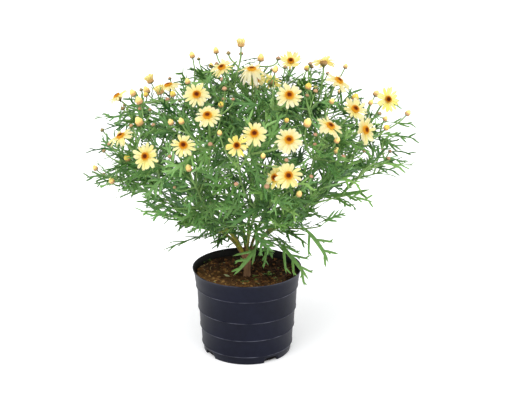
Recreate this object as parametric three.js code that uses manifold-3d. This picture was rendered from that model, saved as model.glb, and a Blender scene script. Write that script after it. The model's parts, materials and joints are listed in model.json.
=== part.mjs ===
// A bushy daisy-flowered chrysanthemum in bloom, standing in a round nursery pot.
// Millimetres, +Z up, the middle of the pot's underside at the origin, front towards -Y.
import * as THREE from 'three';
import { mergeVertices } from 'three/addons/utils/BufferGeometryUtils.js';
import Module from 'manifold-3d';

const wasm = await Module();
wasm.setup();

// Clear distance left between neighbouring pieces.
const CLEAR = 0.35;

// Pot: outside and inside of the wall as radius and height, from the base to the lip.
const POT_SEGMENTS = 28;
const POT_FLOOR = 1.6;
const POT_OUTSIDE = [
  [52.4, 0], [53.4, 9.2], [54.4, 10.2], [55.4, 31.1], [56.5, 32.1], [57.5, 54.0],
  [58.6, 55.0], [59.7, 81.5], [60.9, 82.5], [63.0, 98.0], [65.0, 104.0],
];
const POT_INSIDE = [[63.7, 104.0], [61.7, 98.0], [58.2, 81.5], [51.3, POT_FLOOR]];
// Drain notches in the foot, by azimuth from the front, and their arch as width and height.
const NOTCH_AZIMUTHS = [-57, 33, 123, 213];
const NOTCH_ARCH = [[-10, -2], [10, -2], [9, 2.5], [5, 6.4], [-5, 6.4], [-9, 2.5]];
const NOTCH_FROM = 43;
const NOTCH_LENGTH = 18;

// Soil: a filled plug of peat, lumpy and a little dished on top, with a plain hole for the trunk.
const SOIL_SEGMENTS = 18;
const SOIL_BOTTOM_RADIUS = 50.65;
const SOIL_WALL = [57.5, 81.5];
const SOIL_EDGE = [60.3, 95.0];
const SOIL_RINGS = [48, 33, 18];
const SOIL_TOP = 92.0;
const SOIL_RISE = 3.4;
const HOLE_RADIUS = 5.1;
const HOLE_BOTTOM = 60;

// Trunk: radius and height, then a fork to each stem.
const TRUNK_SIDES = 8;
const TRUNK_PROFILE = [[4.2, 60.4], [4.6, 88], [4.8, 109], [3.9, 114]];
const FORK_ROOT_HEIGHT = 107;
const FORK_TIP_RADIUS = 8.8;
const FORK_TIP_HEIGHT = 126;
const FORK_SIDES = 4;
const FORK_STEPS = 2;
const FORK_THICK = [2.4, 2.1];

// Stems: azimuth from the front, and the hub where the stem breaks up into flower shoots.
// The first stem goes straight up from the middle.
const STEMS = [
  { azimuth: 60, hub: [6, 2, 250] },
  { azimuth: 3, hub: [9, -92, 216] },
  { azimuth: -38, hub: [-54, -74, 226] },
  { azimuth: -80, hub: [-100, -30, 214] },
  { azimuth: -124, hub: [-84, 46, 236] },
  { azimuth: -168, hub: [-24, 92, 222] },
  { azimuth: 146, hub: [58, 80, 224] },
  { azimuth: 101, hub: [103, 14, 220] },
  { azimuth: 50, hub: [76, -64, 218] },
];
const LIMB_SIDES = 5;
const STEM_STEPS = 5;
const STEM_THICK = [2.0, 1.15];
const LIMB_STEPS = { bloom: 2, twig: 2, bud: 1 };
const ROOT_THICK = 0.62;
const FORK_GAP = 0.7;

// Blooms: the stem that bears each, its place, the way it faces as azimuth and elevation,
// its width across the rays, and how far the ray tips rise (or hang, where negative).
const BLOOMS = [
  { stem: 0, at: [51, 40, 343], face: [0, 53], across: 25.5, rise: 4.5 },
  { stem: 0, at: [6, -30, 348], face: [-18, 80], across: 33, rise: -7.5 },
  { stem: 0, at: [-27, -20, 348], face: [-42, 60], across: 29, rise: 0 },
  { stem: 2, at: [-53, -70, 329], face: [0, 42], across: 30.5, rise: 0.5 },
  { stem: 4, at: [-90, 20, 319], face: [-70, 76], across: 30, rise: -1.5 },
  { stem: 1, at: [46, -90, 333], face: [0, 40], across: 31, rise: 0.5 },
  { stem: 2, at: [-40, -110, 316], face: [-8, 54], across: 31, rise: 0 },
  { stem: 2, at: [-65, -125, 288], face: [4, 42], across: 28, rise: 0.5 },
  { stem: 3, at: [-106, -110, 272], face: [-22, 20], across: 30, rise: 0 },
  { stem: 3, at: [-136, -70, 283], face: [-56, 63], across: 31, rise: -2 },
  { stem: 4, at: [-148, 10, 309], face: [-88, 58], across: 26, rise: -1 },
  { stem: 1, at: [-9, -140, 292], face: [0, 26], across: 25, rise: 2 },
  { stem: 1, at: [9, -130, 302], face: [0, 38], across: 29, rise: 0.5 },
  { stem: 1, at: [45, -130, 295], face: [0, 44], across: 31.5, rise: 0.5 },
  { stem: 8, at: [89, -100, 302], face: [42, 55], across: 30, rise: 0 },
  { stem: 8, at: [119, -50, 308], face: [36, 45], across: 30, rise: 0.5 },
  { stem: 8, at: [129, -70, 290], face: [55, 17], across: 31, rise: 0 },
  { stem: 7, at: [102, -28, 335], face: [62, 54], across: 32, rise: -1 },
  { stem: 7, at: [162, 10, 305], face: [14, 20], across: 29, rise: 1 },
  { stem: 6, at: [88, 20, 347], face: [178, 58], across: 30, rise: -0.5 },
  { stem: 1, at: [44, -150, 263], face: [6, 20], across: 30, rise: 0.3 },
  { stem: 1, at: [31, -128, 254], face: [-42, 20], across: 27, rise: 1 },
  { stem: 0, at: [11, -3, 332], face: [0, 30], across: 24, rise: 2.5 },
  { stem: 6, at: [29, 30, 321], face: [160, 34], across: 25, rise: 3 },
];
const RAYS_PER_BLOOM = 11;
const RAY_ROOT_RADIUS = 4.6;
const RAY_HALF_THICK = 0.45;
const RAY_WIDEST = { along: 0.7, half: 2.6 };
const RAY_TIP = { along: 0.98, half: 1.4 };
const RAY_RIDGE_AT = 0.6;
const CUP_DROP = 0.95;
const DISC_SIDES = 8;
const DISC_RINGS = [[5.2, 0], [4.1, 1.5]];
const DISC_TOP = 2.5;
const DISC_LIFT = 0.95;

// Buds: the stem that bears each, its place and its width.
const BUDS = [
  { stem: 0, at: [-6, 0, 370], wide: 8.5 },
  { stem: 0, at: [16, 2, 353], wide: 7.5 },
  { stem: 0, at: [-35, 30, 356], wide: 6.5 },
  { stem: 1, at: [56, -125, 234], wide: 6 },
  { stem: 2, at: [-68, -98, 306], wide: 6 },
  { stem: 2, at: [-60, -117, 260], wide: 6.5 },
  { stem: 2, at: [-64, -40, 336], wide: 6 },
  { stem: 3, at: [-116, -60, 295], wide: 8.5 },
  { stem: 3, at: [-130, -66, 256], wide: 7 },
  { stem: 3, at: [-172, -20, 231], wide: 6 },
  { stem: 3, at: [-150, -50, 225], wide: 6.5 },
  { stem: 4, at: [-112, 38, 320], wide: 8.5 },
  { stem: 4, at: [-127, -12, 316], wide: 7 },
  { stem: 4, at: [-96, -22, 321], wide: 8.5 },
  { stem: 4, at: [-167, 12, 268], wide: 5 },
  { stem: 4, at: [-61, 4, 356], wide: 6.5 },
  { stem: 4, at: [-118, 56, 303], wide: 8 },
  { stem: 5, at: [-44, 112, 322], wide: 6 },
  { stem: 5, at: [4, 134, 300], wide: 7.5 },
  { stem: 5, at: [-84, 124, 276], wide: 5 },
  { stem: 5, at: [-20, 156, 256], wide: 5.5 },
  { stem: 6, at: [72, 96, 322], wide: 7 },
  { stem: 6, at: [112, 92, 294], wide: 5.5 },
  { stem: 6, at: [56, 142, 272], wide: 5 },
  { stem: 7, at: [150, 34, 305], wide: 7 },
  { stem: 7, at: [182, -10, 293], wide: 6.5 },
  { stem: 8, at: [155, -40, 284], wide: 6.5 },
  { stem: 8, at: [64, -114, 308], wide: 8 },
  { stem: 8, at: [96, -104, 287], wide: 6 },
];

// Half width from which a bud is plump rather than a small bead.
const PLUMP = 3.2;

// Leafy twigs without a flower: the stem that bears each and its tip.
const TWIGS = [
  { stem: 1, tip: [40, -104, 192] },
  { stem: 1, tip: [-18, -100, 190] },
  { stem: 2, tip: [-92, -66, 190] },
  { stem: 2, tip: [-44, -62, 172] },
  { stem: 3, tip: [-152, -24, 219] },
  { stem: 3, tip: [-76, -22, 168] },
  { stem: 4, tip: [-120, 44, 220] },
  { stem: 4, tip: [-64, 56, 178] },
  { stem: 5, tip: [-54, 132, 214] },
  { stem: 5, tip: [10, 88, 176] },
  { stem: 6, tip: [92, 108, 216] },
  { stem: 6, tip: [54, 60, 170] },
  { stem: 7, tip: [163, 6, 221] },
  { stem: 7, tip: [86, 20, 172] },
  { stem: 8, tip: [112, -54, 210] },
  { stem: 8, tip: [84, -44, 170] },
  { stem: 3, tip: [-128, -4, 278] },
  { stem: 7, tip: [150, 12, 262] },
  { stem: 5, tip: [-6, 62, 262] },
  { stem: 4, tip: [-62, 62, 284] },
  { stem: 6, tip: [58, 74, 284] },
];

// Leaves that hang low round the crown: the stem, how far along it, and the leaf's tip.
const SKIRT_LEAVES = [
  { stem: 8, along: 0.15, tip: [-15, -54, 114], pairs: 3 },
  { stem: 8, along: 0.2, tip: [19, -46, 119], pairs: 2 },
  { stem: 8, along: 0.28, tip: [71, -61, 111], pairs: 3 },
  { stem: 8, along: 0.6, tip: [94, -50, 127], pairs: 3 },
  { stem: 3, along: 0.26, tip: [-100, -20, 131], pairs: 3 },
  { stem: 3, along: 0.6, tip: [-77, -34, 161], pairs: 2 },
  { stem: 7, along: 0.7, tip: [143, -12, 204], pairs: 2 },
  { stem: 4, along: 0.22, tip: [-52, 44, 138], pairs: 2 },
  { stem: 5, along: 0.2, tip: [-4, 64, 130], pairs: 2 },
  { stem: 6, along: 0.22, tip: [52, 50, 138], pairs: 2 },
  { stem: 7, along: 0.24, tip: [72, 18, 140], pairs: 2 },
];

// Leaves: thickness on the rib, half widths of foot and rib, arch as a share of the length,
// how far they lean along the stem, how far a blade that runs round the crown faces outwards,
// and the turns tried where one would touch another piece.
const LEAF_THICK = 1.0;
const LEAF_FOOT_HALF = 0.38;
const LEAF_FOOT_THICK = 0.75;
const LEAF_RIB_HALF = 1.25;
const LEAF_ARCH = 0.09;
const LEAF_LEAN = 0.6;
const LEAF_OUTWARD = 1.2;
const TIP_LEAF_LONG = 32;
const TIP_LEAF_RISE = -14;
// Leaves on each kind of limb: spacing, the stretch that bears them, and longest and shortest.
const LEAF_SETTING = {
  stem: { spacing: 30, from: 0.3, to: 1.0, long: 54, short: 44 },
  bloom: { spacing: 36, from: 0.1, to: 0.62, long: 46, short: 34 },
  twig: { spacing: 18, from: 0.3, to: 0.9, long: 44, short: 36 },
  bud: { spacing: 70, from: 0.1, to: 0.6, long: 32, short: 28 },
};
const LEAF_TURNS = [0, 20, -20, 40, -40, 60, -60];
// Underside of the crown: no tip but those of the hanging leaves is lower than this cone.
const UNDERSIDE_HEIGHT = 124;
const UNDERSIDE_SLOPE = 0.53;
// Lobes: where the first pair stands and how far the others reach, as shares of the leaf.
const FIRST_LOBE = 0.34;
const LOBE_SPAN = 0.42;
const LOBE_HALF = 0.045;
const LOBE_LONG = 0.36;
const LOBE_SHORTER = 0.04;
const LOBE_LEAN = 40;

const UP = new THREE.Vector3(0, 0, 1);

function radians(degrees) {
  return degrees * Math.PI / 180;
}

function vector(place) {
  return new THREE.Vector3(place[0], place[1], place[2]);
}

// Direction by azimuth from the front, turning towards +X, and by elevation.
function facing(azimuth, elevation) {
  const a = radians(azimuth);
  const e = radians(elevation);
  return new THREE.Vector3(Math.sin(a) * Math.cos(e), -Math.cos(a) * Math.cos(e), Math.sin(e));
}

// Seeded draw of numbers from 0 to 1.
function draws(seed) {
  let state = (seed * 2654435761) % 4294967296;
  return () => {
    state = (Math.imul(state, 1664525) + 1013904223) >>> 0;
    return state / 4294967296;
  };
}

// A closed body from corner points and triangles.
function body(points, faces) {
  const vertProperties = new Float32Array(points.length * 3);
  points.forEach((point, i) => vertProperties.set([point.x, point.y, point.z], i * 3));
  const triVerts = new Uint32Array(faces.flat());
  return new wasm.Manifold(new wasm.Mesh({ numProp: 3, vertProperties, triVerts }));
}

// A closed body from one of three's shapes, with its seams welded.
function bodyFromGeometry(geometry) {
  geometry.deleteAttribute('normal');
  geometry.deleteAttribute('uv');
  const welded = mergeVertices(geometry, 1e-4);
  const place = welded.getAttribute('position');
  const index = welded.getIndex();
  const points = [];
  for (let i = 0; i < place.count; i += 1) {
    points.push(new THREE.Vector3().fromBufferAttribute(place, i));
  }
  const faces = [];
  for (let i = 0; i < index.count; i += 3) {
    const face = [index.getX(i), index.getX(i + 1), index.getX(i + 2)];
    if (new Set(face).size === 3) {
      faces.push(face);
    }
  }
  return body(points, faces);
}

function meshFrom(solid, name, material) {
  const part = solid.getMesh();
  const geometry = new THREE.BufferGeometry();
  const place = new Float32Array(part.numVert * 3);
  for (let i = 0; i < part.numVert; i += 1) {
    place.set(part.vertProperties.subarray(i * part.numProp, i * part.numProp + 3), i * 3);
  }
  geometry.setAttribute('position', new THREE.BufferAttribute(place, 3));
  geometry.setIndex(new THREE.BufferAttribute(new Uint32Array(part.triVerts), 1));
  const mesh = new THREE.Mesh(geometry, material);
  mesh.name = name;
  return mesh;
}

// Point and direction on the cubic curve through four control points.
function onCurve(curve, t) {
  const s = 1 - t;
  return new THREE.Vector3()
    .addScaledVector(curve[0], s * s * s)
    .addScaledVector(curve[1], 3 * s * s * t)
    .addScaledVector(curve[2], 3 * s * t * t)
    .addScaledVector(curve[3], t * t * t);
}

function alongCurve(curve, t) {
  const s = 1 - t;
  const slope = new THREE.Vector3()
    .addScaledVector(curve[0], -3 * s * s)
    .addScaledVector(curve[1], 3 * s * s - 6 * s * t)
    .addScaledVector(curve[2], 6 * s * t - 3 * t * t)
    .addScaledVector(curve[3], 3 * t * t);
  return slope.normalize();
}

// The part of a vector that is square to a direction, as a direction of its own.
function squarePart(vectorGiven, direction) {
  const part = vectorGiven.clone().addScaledVector(direction, -vectorGiven.dot(direction));
  return part.length() < 1e-6 ? squareTo(direction) : part.normalize();
}

// The corners between the straight pieces that a limb is built of, up to its neck.
function corners(curve) {
  const places = [];
  for (let i = 0; i <= curve.steps; i += 1) {
    places.push(onCurve(curve.points, curve.end * i / curve.steps));
  }
  if (curve.parent !== undefined) {
    places[0] = onLimb(curve.parent, curve.at);
  }
  return places;
}

// Point on those straight pieces.
function onLimb(curve, t) {
  const places = corners(curve);
  const place = Math.min(t / curve.end, 1) * curve.steps;
  const piece = Math.min(Math.floor(place), curve.steps - 1);
  return places[piece].clone().lerp(places[piece + 1], place - piece);
}

// A direction square to the one given, as near as it can be to straight up.
function squareTo(direction) {
  const guide = Math.abs(direction.z) > 0.95 ? new THREE.Vector3(0, 1, 0) : UP;
  return guide.clone().addScaledVector(direction, -guide.dot(direction)).normalize();
}

// Two directions square to a run of centre points, carried along it without twisting.
function framesAlong(centres) {
  let across = squareTo(centres[1].clone().sub(centres[0]).normalize());
  return centres.map((_, i) => {
    const before = centres[Math.max(i - 1, 0)];
    const after = centres[Math.min(i + 1, centres.length - 1)];
    const direction = after.clone().sub(before).normalize();
    across = across.clone().addScaledVector(direction, -across.dot(direction)).normalize();
    return { across, other: direction.clone().cross(across) };
  });
}

// A round body along centre points, each with its radius. A last radius of nought ends in a point.
function tube(centres, radii, sides) {
  const last = centres.length - 1;
  const points = [];
  const faces = [];
  const pointed = radii[last] === 0;
  const rings = pointed ? last : last + 1;
  framesAlong(centres).slice(0, rings).forEach(({ across, other }, i) => {
    for (let j = 0; j < sides; j += 1) {
      const turn = 2 * Math.PI * j / sides;
      points.push(centres[i].clone()
        .addScaledVector(across, radii[i] * Math.cos(turn))
        .addScaledVector(other, radii[i] * Math.sin(turn)));
    }
  });
  for (let j = 1; j < sides - 1; j += 1) {
    faces.push([0, j + 1, j]);
  }
  for (let i = 0; i < rings - 1; i += 1) {
    for (let j = 0; j < sides; j += 1) {
      const a = i * sides + j;
      const b = i * sides + (j + 1) % sides;
      faces.push([a, b, b + sides], [a, b + sides, a + sides]);
    }
  }
  const top = (rings - 1) * sides;
  if (pointed) {
    points.push(centres[last].clone());
    for (let j = 0; j < sides; j += 1) {
      faces.push([top + j, top + (j + 1) % sides, points.length - 1]);
    }
  } else {
    for (let j = 1; j < sides - 1; j += 1) {
      faces.push([top, top + j, top + j + 1]);
    }
  }
  return body(points, faces);
}

// Growth plan: where each stem, shoot, twig and stalk runs.

function forkCurve(number) {
  const root = new THREE.Vector3(0, 0, FORK_ROOT_HEIGHT);
  if (number === 0) {
    const tip = new THREE.Vector3(0.6, 0.4, FORK_TIP_HEIGHT + 1);
    return [root, new THREE.Vector3(0, 0, 113), new THREE.Vector3(0.3, 0.2, 120), tip];
  }
  const out = facing(STEMS[number].azimuth, 0);
  const tip = out.clone().multiplyScalar(FORK_TIP_RADIUS).setZ(FORK_TIP_HEIGHT);
  const knee = out.clone().multiplyScalar(2.2).setZ(FORK_ROOT_HEIGHT + 7);
  const bend = out.clone().multiplyScalar(6.0).setZ(FORK_TIP_HEIGHT - 5);
  return [root, knee, bend, tip];
}

function stemCurve(number) {
  const fork = forkCurve(number);
  const direction = alongCurve(fork, 1);
  const start = fork[3].clone().addScaledVector(direction, FORK_GAP);
  const hub = vector(STEMS[number].hub);
  const reach = hub.distanceTo(start);
  const outward = new THREE.Vector3(hub.x, hub.y, 0).multiplyScalar(0.9 / Math.max(hub.length(), 1));
  const arrive = outward.add(UP).normalize();
  const knee = start.clone().addScaledVector(direction, reach * 0.35);
  const bend = hub.clone().addScaledVector(arrive, -reach * 0.35);
  return [start, knee, bend, hub];
}

// Distance from a bloom's flat disc of rays to a point, nought or less where it is inside.
function outsideBloom(bloom, point) {
  const away = point.clone().sub(vector(bloom.at));
  const axis = facing(bloom.face[0], bloom.face[1]);
  const high = Math.abs(away.dot(axis));
  const wide = Math.sqrt(Math.max(away.lengthSq() - high * high, 0));
  return Math.max(high - 4, wide - bloom.across / 2 - 1.5);
}

// A shoot from the best place on the curves already there to a head that faces along an axis.
function shootTo(head, axis, curves, minimum, others, ownBloom) {
  let best = null;
  curves.forEach((curve) => {
    for (let t = 0.22; t < curve.limit; t += 0.06) {
      const root = onCurve(curve.points, t);
      const along = alongCurve(curve.points, t);
      const reach = head.clone().sub(root);
      const distance = reach.length();
      if (distance < minimum || root.z > head.z - minimum * 0.25) {
        continue;
      }
      const bend = 1.7 - reach.normalize().dot(along);
      const leave = along.clone().addScaledVector(squarePart(reach, along), 0.9).normalize();
      const path = [
        root,
        root.clone().addScaledVector(leave, distance * 0.3),
        head.clone().addScaledVector(axis, -distance * 0.42),
        head,
      ];
      let cost = distance * bend;
      for (let i = 2; i < 12; i += 1) {
        const place = onCurve(path, i / 12);
        BLOOMS.forEach((bloom, number) => {
          if (number !== ownBloom && outsideBloom(bloom, place) < 0) {
            cost += 60;
          }
        });
        others.forEach((other) => {
          const gap = place.distanceTo(other) - 4.5;
          if (gap < 0) {
            cost += 40;
          }
        });
      }
      if (best === null || cost < best.cost) {
        best = { cost, points: path, parent: curve, at: t };
      }
    }
  });
  return best;
}

function budAxis(place) {
  return new THREE.Vector3(place.x / 260, place.y / 260, 1).normalize();
}

// All the curves of the plant, stem by stem, each with what it carries.
function growthPlan() {
  const plan = STEMS.map((stem, number) => [
    { kind: 'stem', points: stemCurve(number), limit: 0.97, flat: 0, steps: STEM_STEPS, end: 1 },
  ]);
  const samples = plan.map((curves) => {
    const places = [];
    for (let i = 2; i <= 24; i += 1) {
      places.push(onCurve(curves[0].points, i / 24));
    }
    return places;
  });
  const grow = (number, kind, head, axis, minimum, limit, item) => {
    const others = samples.filter((_, i) => i !== number).flat();
    const own = kind === 'bloom' ? item : -1;
    const { points, parent, at } = shootTo(head, axis, plan[number], minimum, others, own);
    const necks = { bloom: 7, twig: 0, bud: kind === 'bud' ? BUDS[item].wide / 2 + 1.5 : 0 };
    const end = 1 - necks[kind] / points[0].distanceTo(head);
    const flat = plan[number].length;
    plan[number].push({ kind, points, parent, at, limit, item, flat, steps: LIMB_STEPS[kind], end });
    for (let i = 1; i <= 16; i += 1) {
      samples[number].push(onCurve(points, i / 16));
    }
  };
  BLOOMS.forEach((bloom, item) => {
    const axis = facing(bloom.face[0], bloom.face[1]);
    grow(bloom.stem, 'bloom', vector(bloom.at), axis, 48, 0.62, item);
  });
  TWIGS.forEach((twig, item) => {
    const tip = vector(twig.tip);
    const axis = new THREE.Vector3(tip.x, tip.y, 40).normalize();
    grow(twig.stem, 'twig', tip, axis, 24, 0.9, item);
  });
  BUDS.forEach((bud, item) => {
    const place = vector(bud.at);
    grow(bud.stem, 'bud', place, budAxis(place), 20, 0.7, item);
  });
  return plan;
}

// Leaves on one curve, from its foot to its bare neck, each out of the middle of a flat side:
// two turns round the stem to every five leaves.
function leafPlaces(curve, { spacing, from, to, long, short }) {
  const length = curve.points[0].distanceTo(curve.points[3]);
  const count = Math.max(Math.round(length * (to - from) / spacing), 0);
  const frames = framesAlong(corners(curve));
  const places = [];
  for (let i = 0; i < count; i += 1) {
    const t = from + (to - from) * (i + 0.5) / count;
    const root = onLimb(curve, t);
    const piece = Math.min(Math.floor(t / curve.end * curve.steps), curve.steps - 1);
    const { across, other } = frames[piece];
    const along = across.clone().cross(other);
    const turn = 2 * Math.PI * (curve.flat + 0.5 + 2 * i) / LIMB_SIDES;
    const side = across.clone().multiplyScalar(Math.cos(turn)).addScaledVector(other, Math.sin(turn));
    const lean = along.multiplyScalar(LEAF_LEAN).add(side).normalize();
    const reach = long + (short - long) * i / Math.max(count - 1, 1);
    places.push({ curve, root, tip: aboveUnderside(root.clone().addScaledVector(lean, reach)) });
  }
  return places;
}

function aboveUnderside(tip) {
  const least = UNDERSIDE_HEIGHT + UNDERSIDE_SLOPE * Math.hypot(tip.x, tip.y);
  return tip.clone().setZ(Math.max(tip.z, least));
}

// One finely cut leaf: an arched blade, ridged along the rib, whose lobes are cut to the rib.
function leaf(root, tip, pairs) {
  const chord = tip.clone().sub(root);
  const length = chord.length();
  const level = chord.clone().divideScalar(length);
  const outward = new THREE.Vector3(root.x, root.y, 0).normalize();
  const round = 1 - Math.abs(level.dot(outward));
  const side = level.clone().cross(UP.clone().addScaledVector(outward, LEAF_OUTWARD * round));
  if (side.length() < 0.2) {
    side.set(1, 0, 0).addScaledVector(level, -level.x);
  }
  side.normalize();
  const above = side.clone().cross(level).normalize();
  const middle = (at) => root.clone()
    .addScaledVector(chord, at)
    .addScaledVector(above, length * LEAF_ARCH * 4 * at * (1 - at) - LEAF_THICK / 2);
  const points = [];
  const faces = [];
  const put = (point) => {
    points.push(point);
    return points.length - 1;
  };
  const stations = [0];
  for (let k = 0; k < pairs; k += 1) {
    stations.push(FIRST_LOBE + LOBE_SPAN * k / (pairs - 1));
  }
  const rib = stations.map((at) => {
    const thick = at === 0 ? LEAF_FOOT_THICK : LEAF_THICK;
    return put(middle(at).addScaledVector(above, thick));
  });
  const end = put(tip.clone());
  const edges = [1, -1].map((hand) => {
    const out = side.clone().multiplyScalar(hand);
    const edge = [put(middle(0).addScaledVector(out, LEAF_FOOT_HALF))];
    for (let k = 1; k <= pairs; k += 1) {
      const lobe = length * (LOBE_LONG - LOBE_SHORTER * k);
      edge.push(put(middle(stations[k] - LOBE_HALF).addScaledVector(out, LEAF_RIB_HALF)));
      edge.push(put(middle(stations[k])
        .addScaledVector(level, lobe * Math.cos(radians(LOBE_LEAN)))
        .addScaledVector(out, lobe * Math.sin(radians(LOBE_LEAN)))
        .addScaledVector(above, -lobe * 0.05)));
      edge.push(put(middle(stations[k] + LOBE_HALF).addScaledVector(out, LEAF_RIB_HALF)));
    }
    return edge;
  });
  edges.forEach((edge, hand) => {
    const face = (a, b, c) => faces.push(hand === 0 ? [a, b, c] : [a, c, b]);
    for (let k = 1; k <= pairs; k += 1) {
      const foot = edge[3 * k - 3];
      const [near, point, far] = edge.slice(3 * k - 2, 3 * k + 1);
      face(rib[k - 1], foot, rib[k]);
      face(foot, near, rib[k]);
      face(near, point, rib[k]);
      face(point, far, rib[k]);
      face(near, far, point);
    }
    face(rib[pairs], edge[3 * pairs], end);
  });
  const [left, right] = edges;
  for (let k = 0; k < pairs; k += 1) {
    faces.push([left[3 * k], right[3 * k], right[3 * k + 1]]);
    faces.push([left[3 * k], right[3 * k + 1], left[3 * k + 1]]);
    faces.push([left[3 * k + 1], right[3 * k + 1], right[3 * k + 3]]);
    faces.push([left[3 * k + 1], right[3 * k + 3], left[3 * k + 3]]);
  }
  faces.push([left[3 * pairs], right[3 * pairs], end]);
  faces.push([rib[0], right[0], left[0]]);
  return body(points, faces);
}

// Flat bundle of rays round the disc, as one body: blunt rays, ridged along the middle.
function rays(bloom, number) {
  const draw = draws(number + 11);
  const axis = facing(bloom.face[0], bloom.face[1]);
  const across = squareTo(axis);
  const other = axis.clone().cross(across);
  const centre = vector(bloom.at);
  const long = bloom.across / 2;
  const place = (turn, radius, half, high) => {
    const out = across.clone().multiplyScalar(Math.cos(turn)).addScaledVector(other, Math.sin(turn));
    const beside = axis.clone().cross(out);
    return centre.clone().addScaledVector(out, radius).addScaledVector(beside, half)
      .addScaledVector(axis, high);
  };
  const lift = (radius, rise) => rise * Math.max((radius - 6) / (long - 6), 0) ** 1.5;
  const points = [
    centre.clone().addScaledVector(axis, RAY_HALF_THICK),
    centre.clone().addScaledVector(axis, -RAY_HALF_THICK),
  ];
  const faces = [];
  const spread = 2 * Math.PI / RAYS_PER_BLOOM;
  const valley = [];
  for (let i = 0; i < RAYS_PER_BLOOM; i += 1) {
    points.push(place(spread * (i - 0.5), RAY_ROOT_RADIUS, 0, 0));
    valley.push(points.length - 1);
  }
  for (let i = 0; i < RAYS_PER_BLOOM; i += 1) {
    const turn = spread * i + (draw() - 0.5) * 0.08;
    const reach = long * (0.96 + 0.07 * draw());
    const rise = bloom.rise + (draw() - 0.5) * 1.4;
    const wide = RAY_WIDEST.along * reach;
    const blunt = RAY_TIP.along * reach;
    const scale = long / 15.2;
    const first = points.length;
    points.push(place(turn, wide, -RAY_WIDEST.half * scale, lift(wide, rise)));
    points.push(place(turn, blunt, -RAY_TIP.half * scale, lift(blunt, rise)));
    points.push(place(turn, blunt, RAY_TIP.half * scale, lift(blunt, rise)));
    points.push(place(turn, wide, RAY_WIDEST.half * scale, lift(wide, rise)));
    const ridge = RAY_RIDGE_AT * reach;
    points.push(place(turn, ridge, 0, lift(ridge, rise) + RAY_HALF_THICK));
    points.push(place(turn, ridge, 0, lift(ridge, rise) - RAY_HALF_THICK));
    const a = valley[i];
    const b = valley[(i + 1) % RAYS_PER_BLOOM];
    const rim = [a, first, first + 1, first + 2, first + 3, b];
    [[first + 4, 0, false], [first + 5, 1, true]].forEach(([middle, core, under]) => {
      const sheet = (p, q, r) => faces.push(under ? [p, r, q] : [p, q, r]);
      sheet(core, a, middle);
      sheet(core, middle, b);
      for (let k = 0; k < rim.length - 1; k += 1) {
        sheet(middle, rim[k], rim[k + 1]);
      }
    });
  }
  return body(points, faces);
}

// Domed middle of a bloom, with its florets as low bumps.
function disc(bloom) {
  const axis = facing(bloom.face[0], bloom.face[1]);
  const across = squareTo(axis);
  const other = axis.clone().cross(across);
  const lift = DISC_LIFT + Math.max(bloom.rise, 0) * 0.12;
  const centre = vector(bloom.at).addScaledVector(axis, lift);
  const points = [];
  const faces = [];
  DISC_RINGS.forEach(([radius, high], ring) => {
    for (let j = 0; j < DISC_SIDES; j += 1) {
      const bump = (j + ring) % 2 === 0 ? 0 : 0.4;
      const turn = 2 * Math.PI * (j + ring / 2) / DISC_SIDES;
      points.push(centre.clone()
        .addScaledVector(across, radius * Math.cos(turn))
        .addScaledVector(other, radius * Math.sin(turn))
        .addScaledVector(axis, high + (ring > 0 ? bump : 0)));
    }
  });
  points.push(centre.clone().addScaledVector(axis, DISC_TOP));
  for (let j = 1; j < DISC_SIDES - 1; j += 1) {
    faces.push([0, j + 1, j]);
  }
  for (let ring = 0; ring < DISC_RINGS.length - 1; ring += 1) {
    for (let j = 0; j < DISC_SIDES; j += 1) {
      const a = ring * DISC_SIDES + j;
      const b = ring * DISC_SIDES + (j + 1) % DISC_SIDES;
      faces.push([a, b, a + DISC_SIDES], [b, b + DISC_SIDES, a + DISC_SIDES]);
    }
  }
  const top = (DISC_RINGS.length - 1) * DISC_SIDES;
  for (let j = 0; j < DISC_SIDES; j += 1) {
    faces.push([top + j, top + (j + 1) % DISC_SIDES, points.length - 1]);
  }
  return body(points, faces);
}

function pot() {
  const outline = [[0, 0], ...POT_OUTSIDE, ...POT_INSIDE, [0, POT_FLOOR]];
  const lathe = new THREE.LatheGeometry(outline.map((p) => new THREE.Vector2(p[0], p[1])), POT_SEGMENTS);
  lathe.rotateX(Math.PI / 2);
  let solid = bodyFromGeometry(lathe);
  if (solid.volume() < 0) {
    throw new Error('the pot is turned inside out');
  }
  const arch = new THREE.Shape(NOTCH_ARCH.map((p) => new THREE.Vector2(p[0], p[1])));
  NOTCH_AZIMUTHS.forEach((azimuth) => {
    const notch = new THREE.ExtrudeGeometry(arch, { depth: NOTCH_LENGTH, bevelEnabled: false });
    notch.rotateX(Math.PI / 2);
    notch.translate(0, -NOTCH_FROM, 0);
    notch.rotateZ(radians(azimuth));
    solid = solid.subtract(bodyFromGeometry(notch));
  });
  return solid;
}

// Height of the soil's surface: low lumps over a slight dish.
function soilHeight(radius, turn) {
  const dish = SOIL_TOP + SOIL_RISE * (radius / SOIL_EDGE[0]) ** 2;
  const lumps = 1.1 * Math.sin(3 * turn + radius * 0.21) + 0.7 * Math.sin(7 * turn - radius * 0.33);
  return dish + lumps;
}

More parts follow.
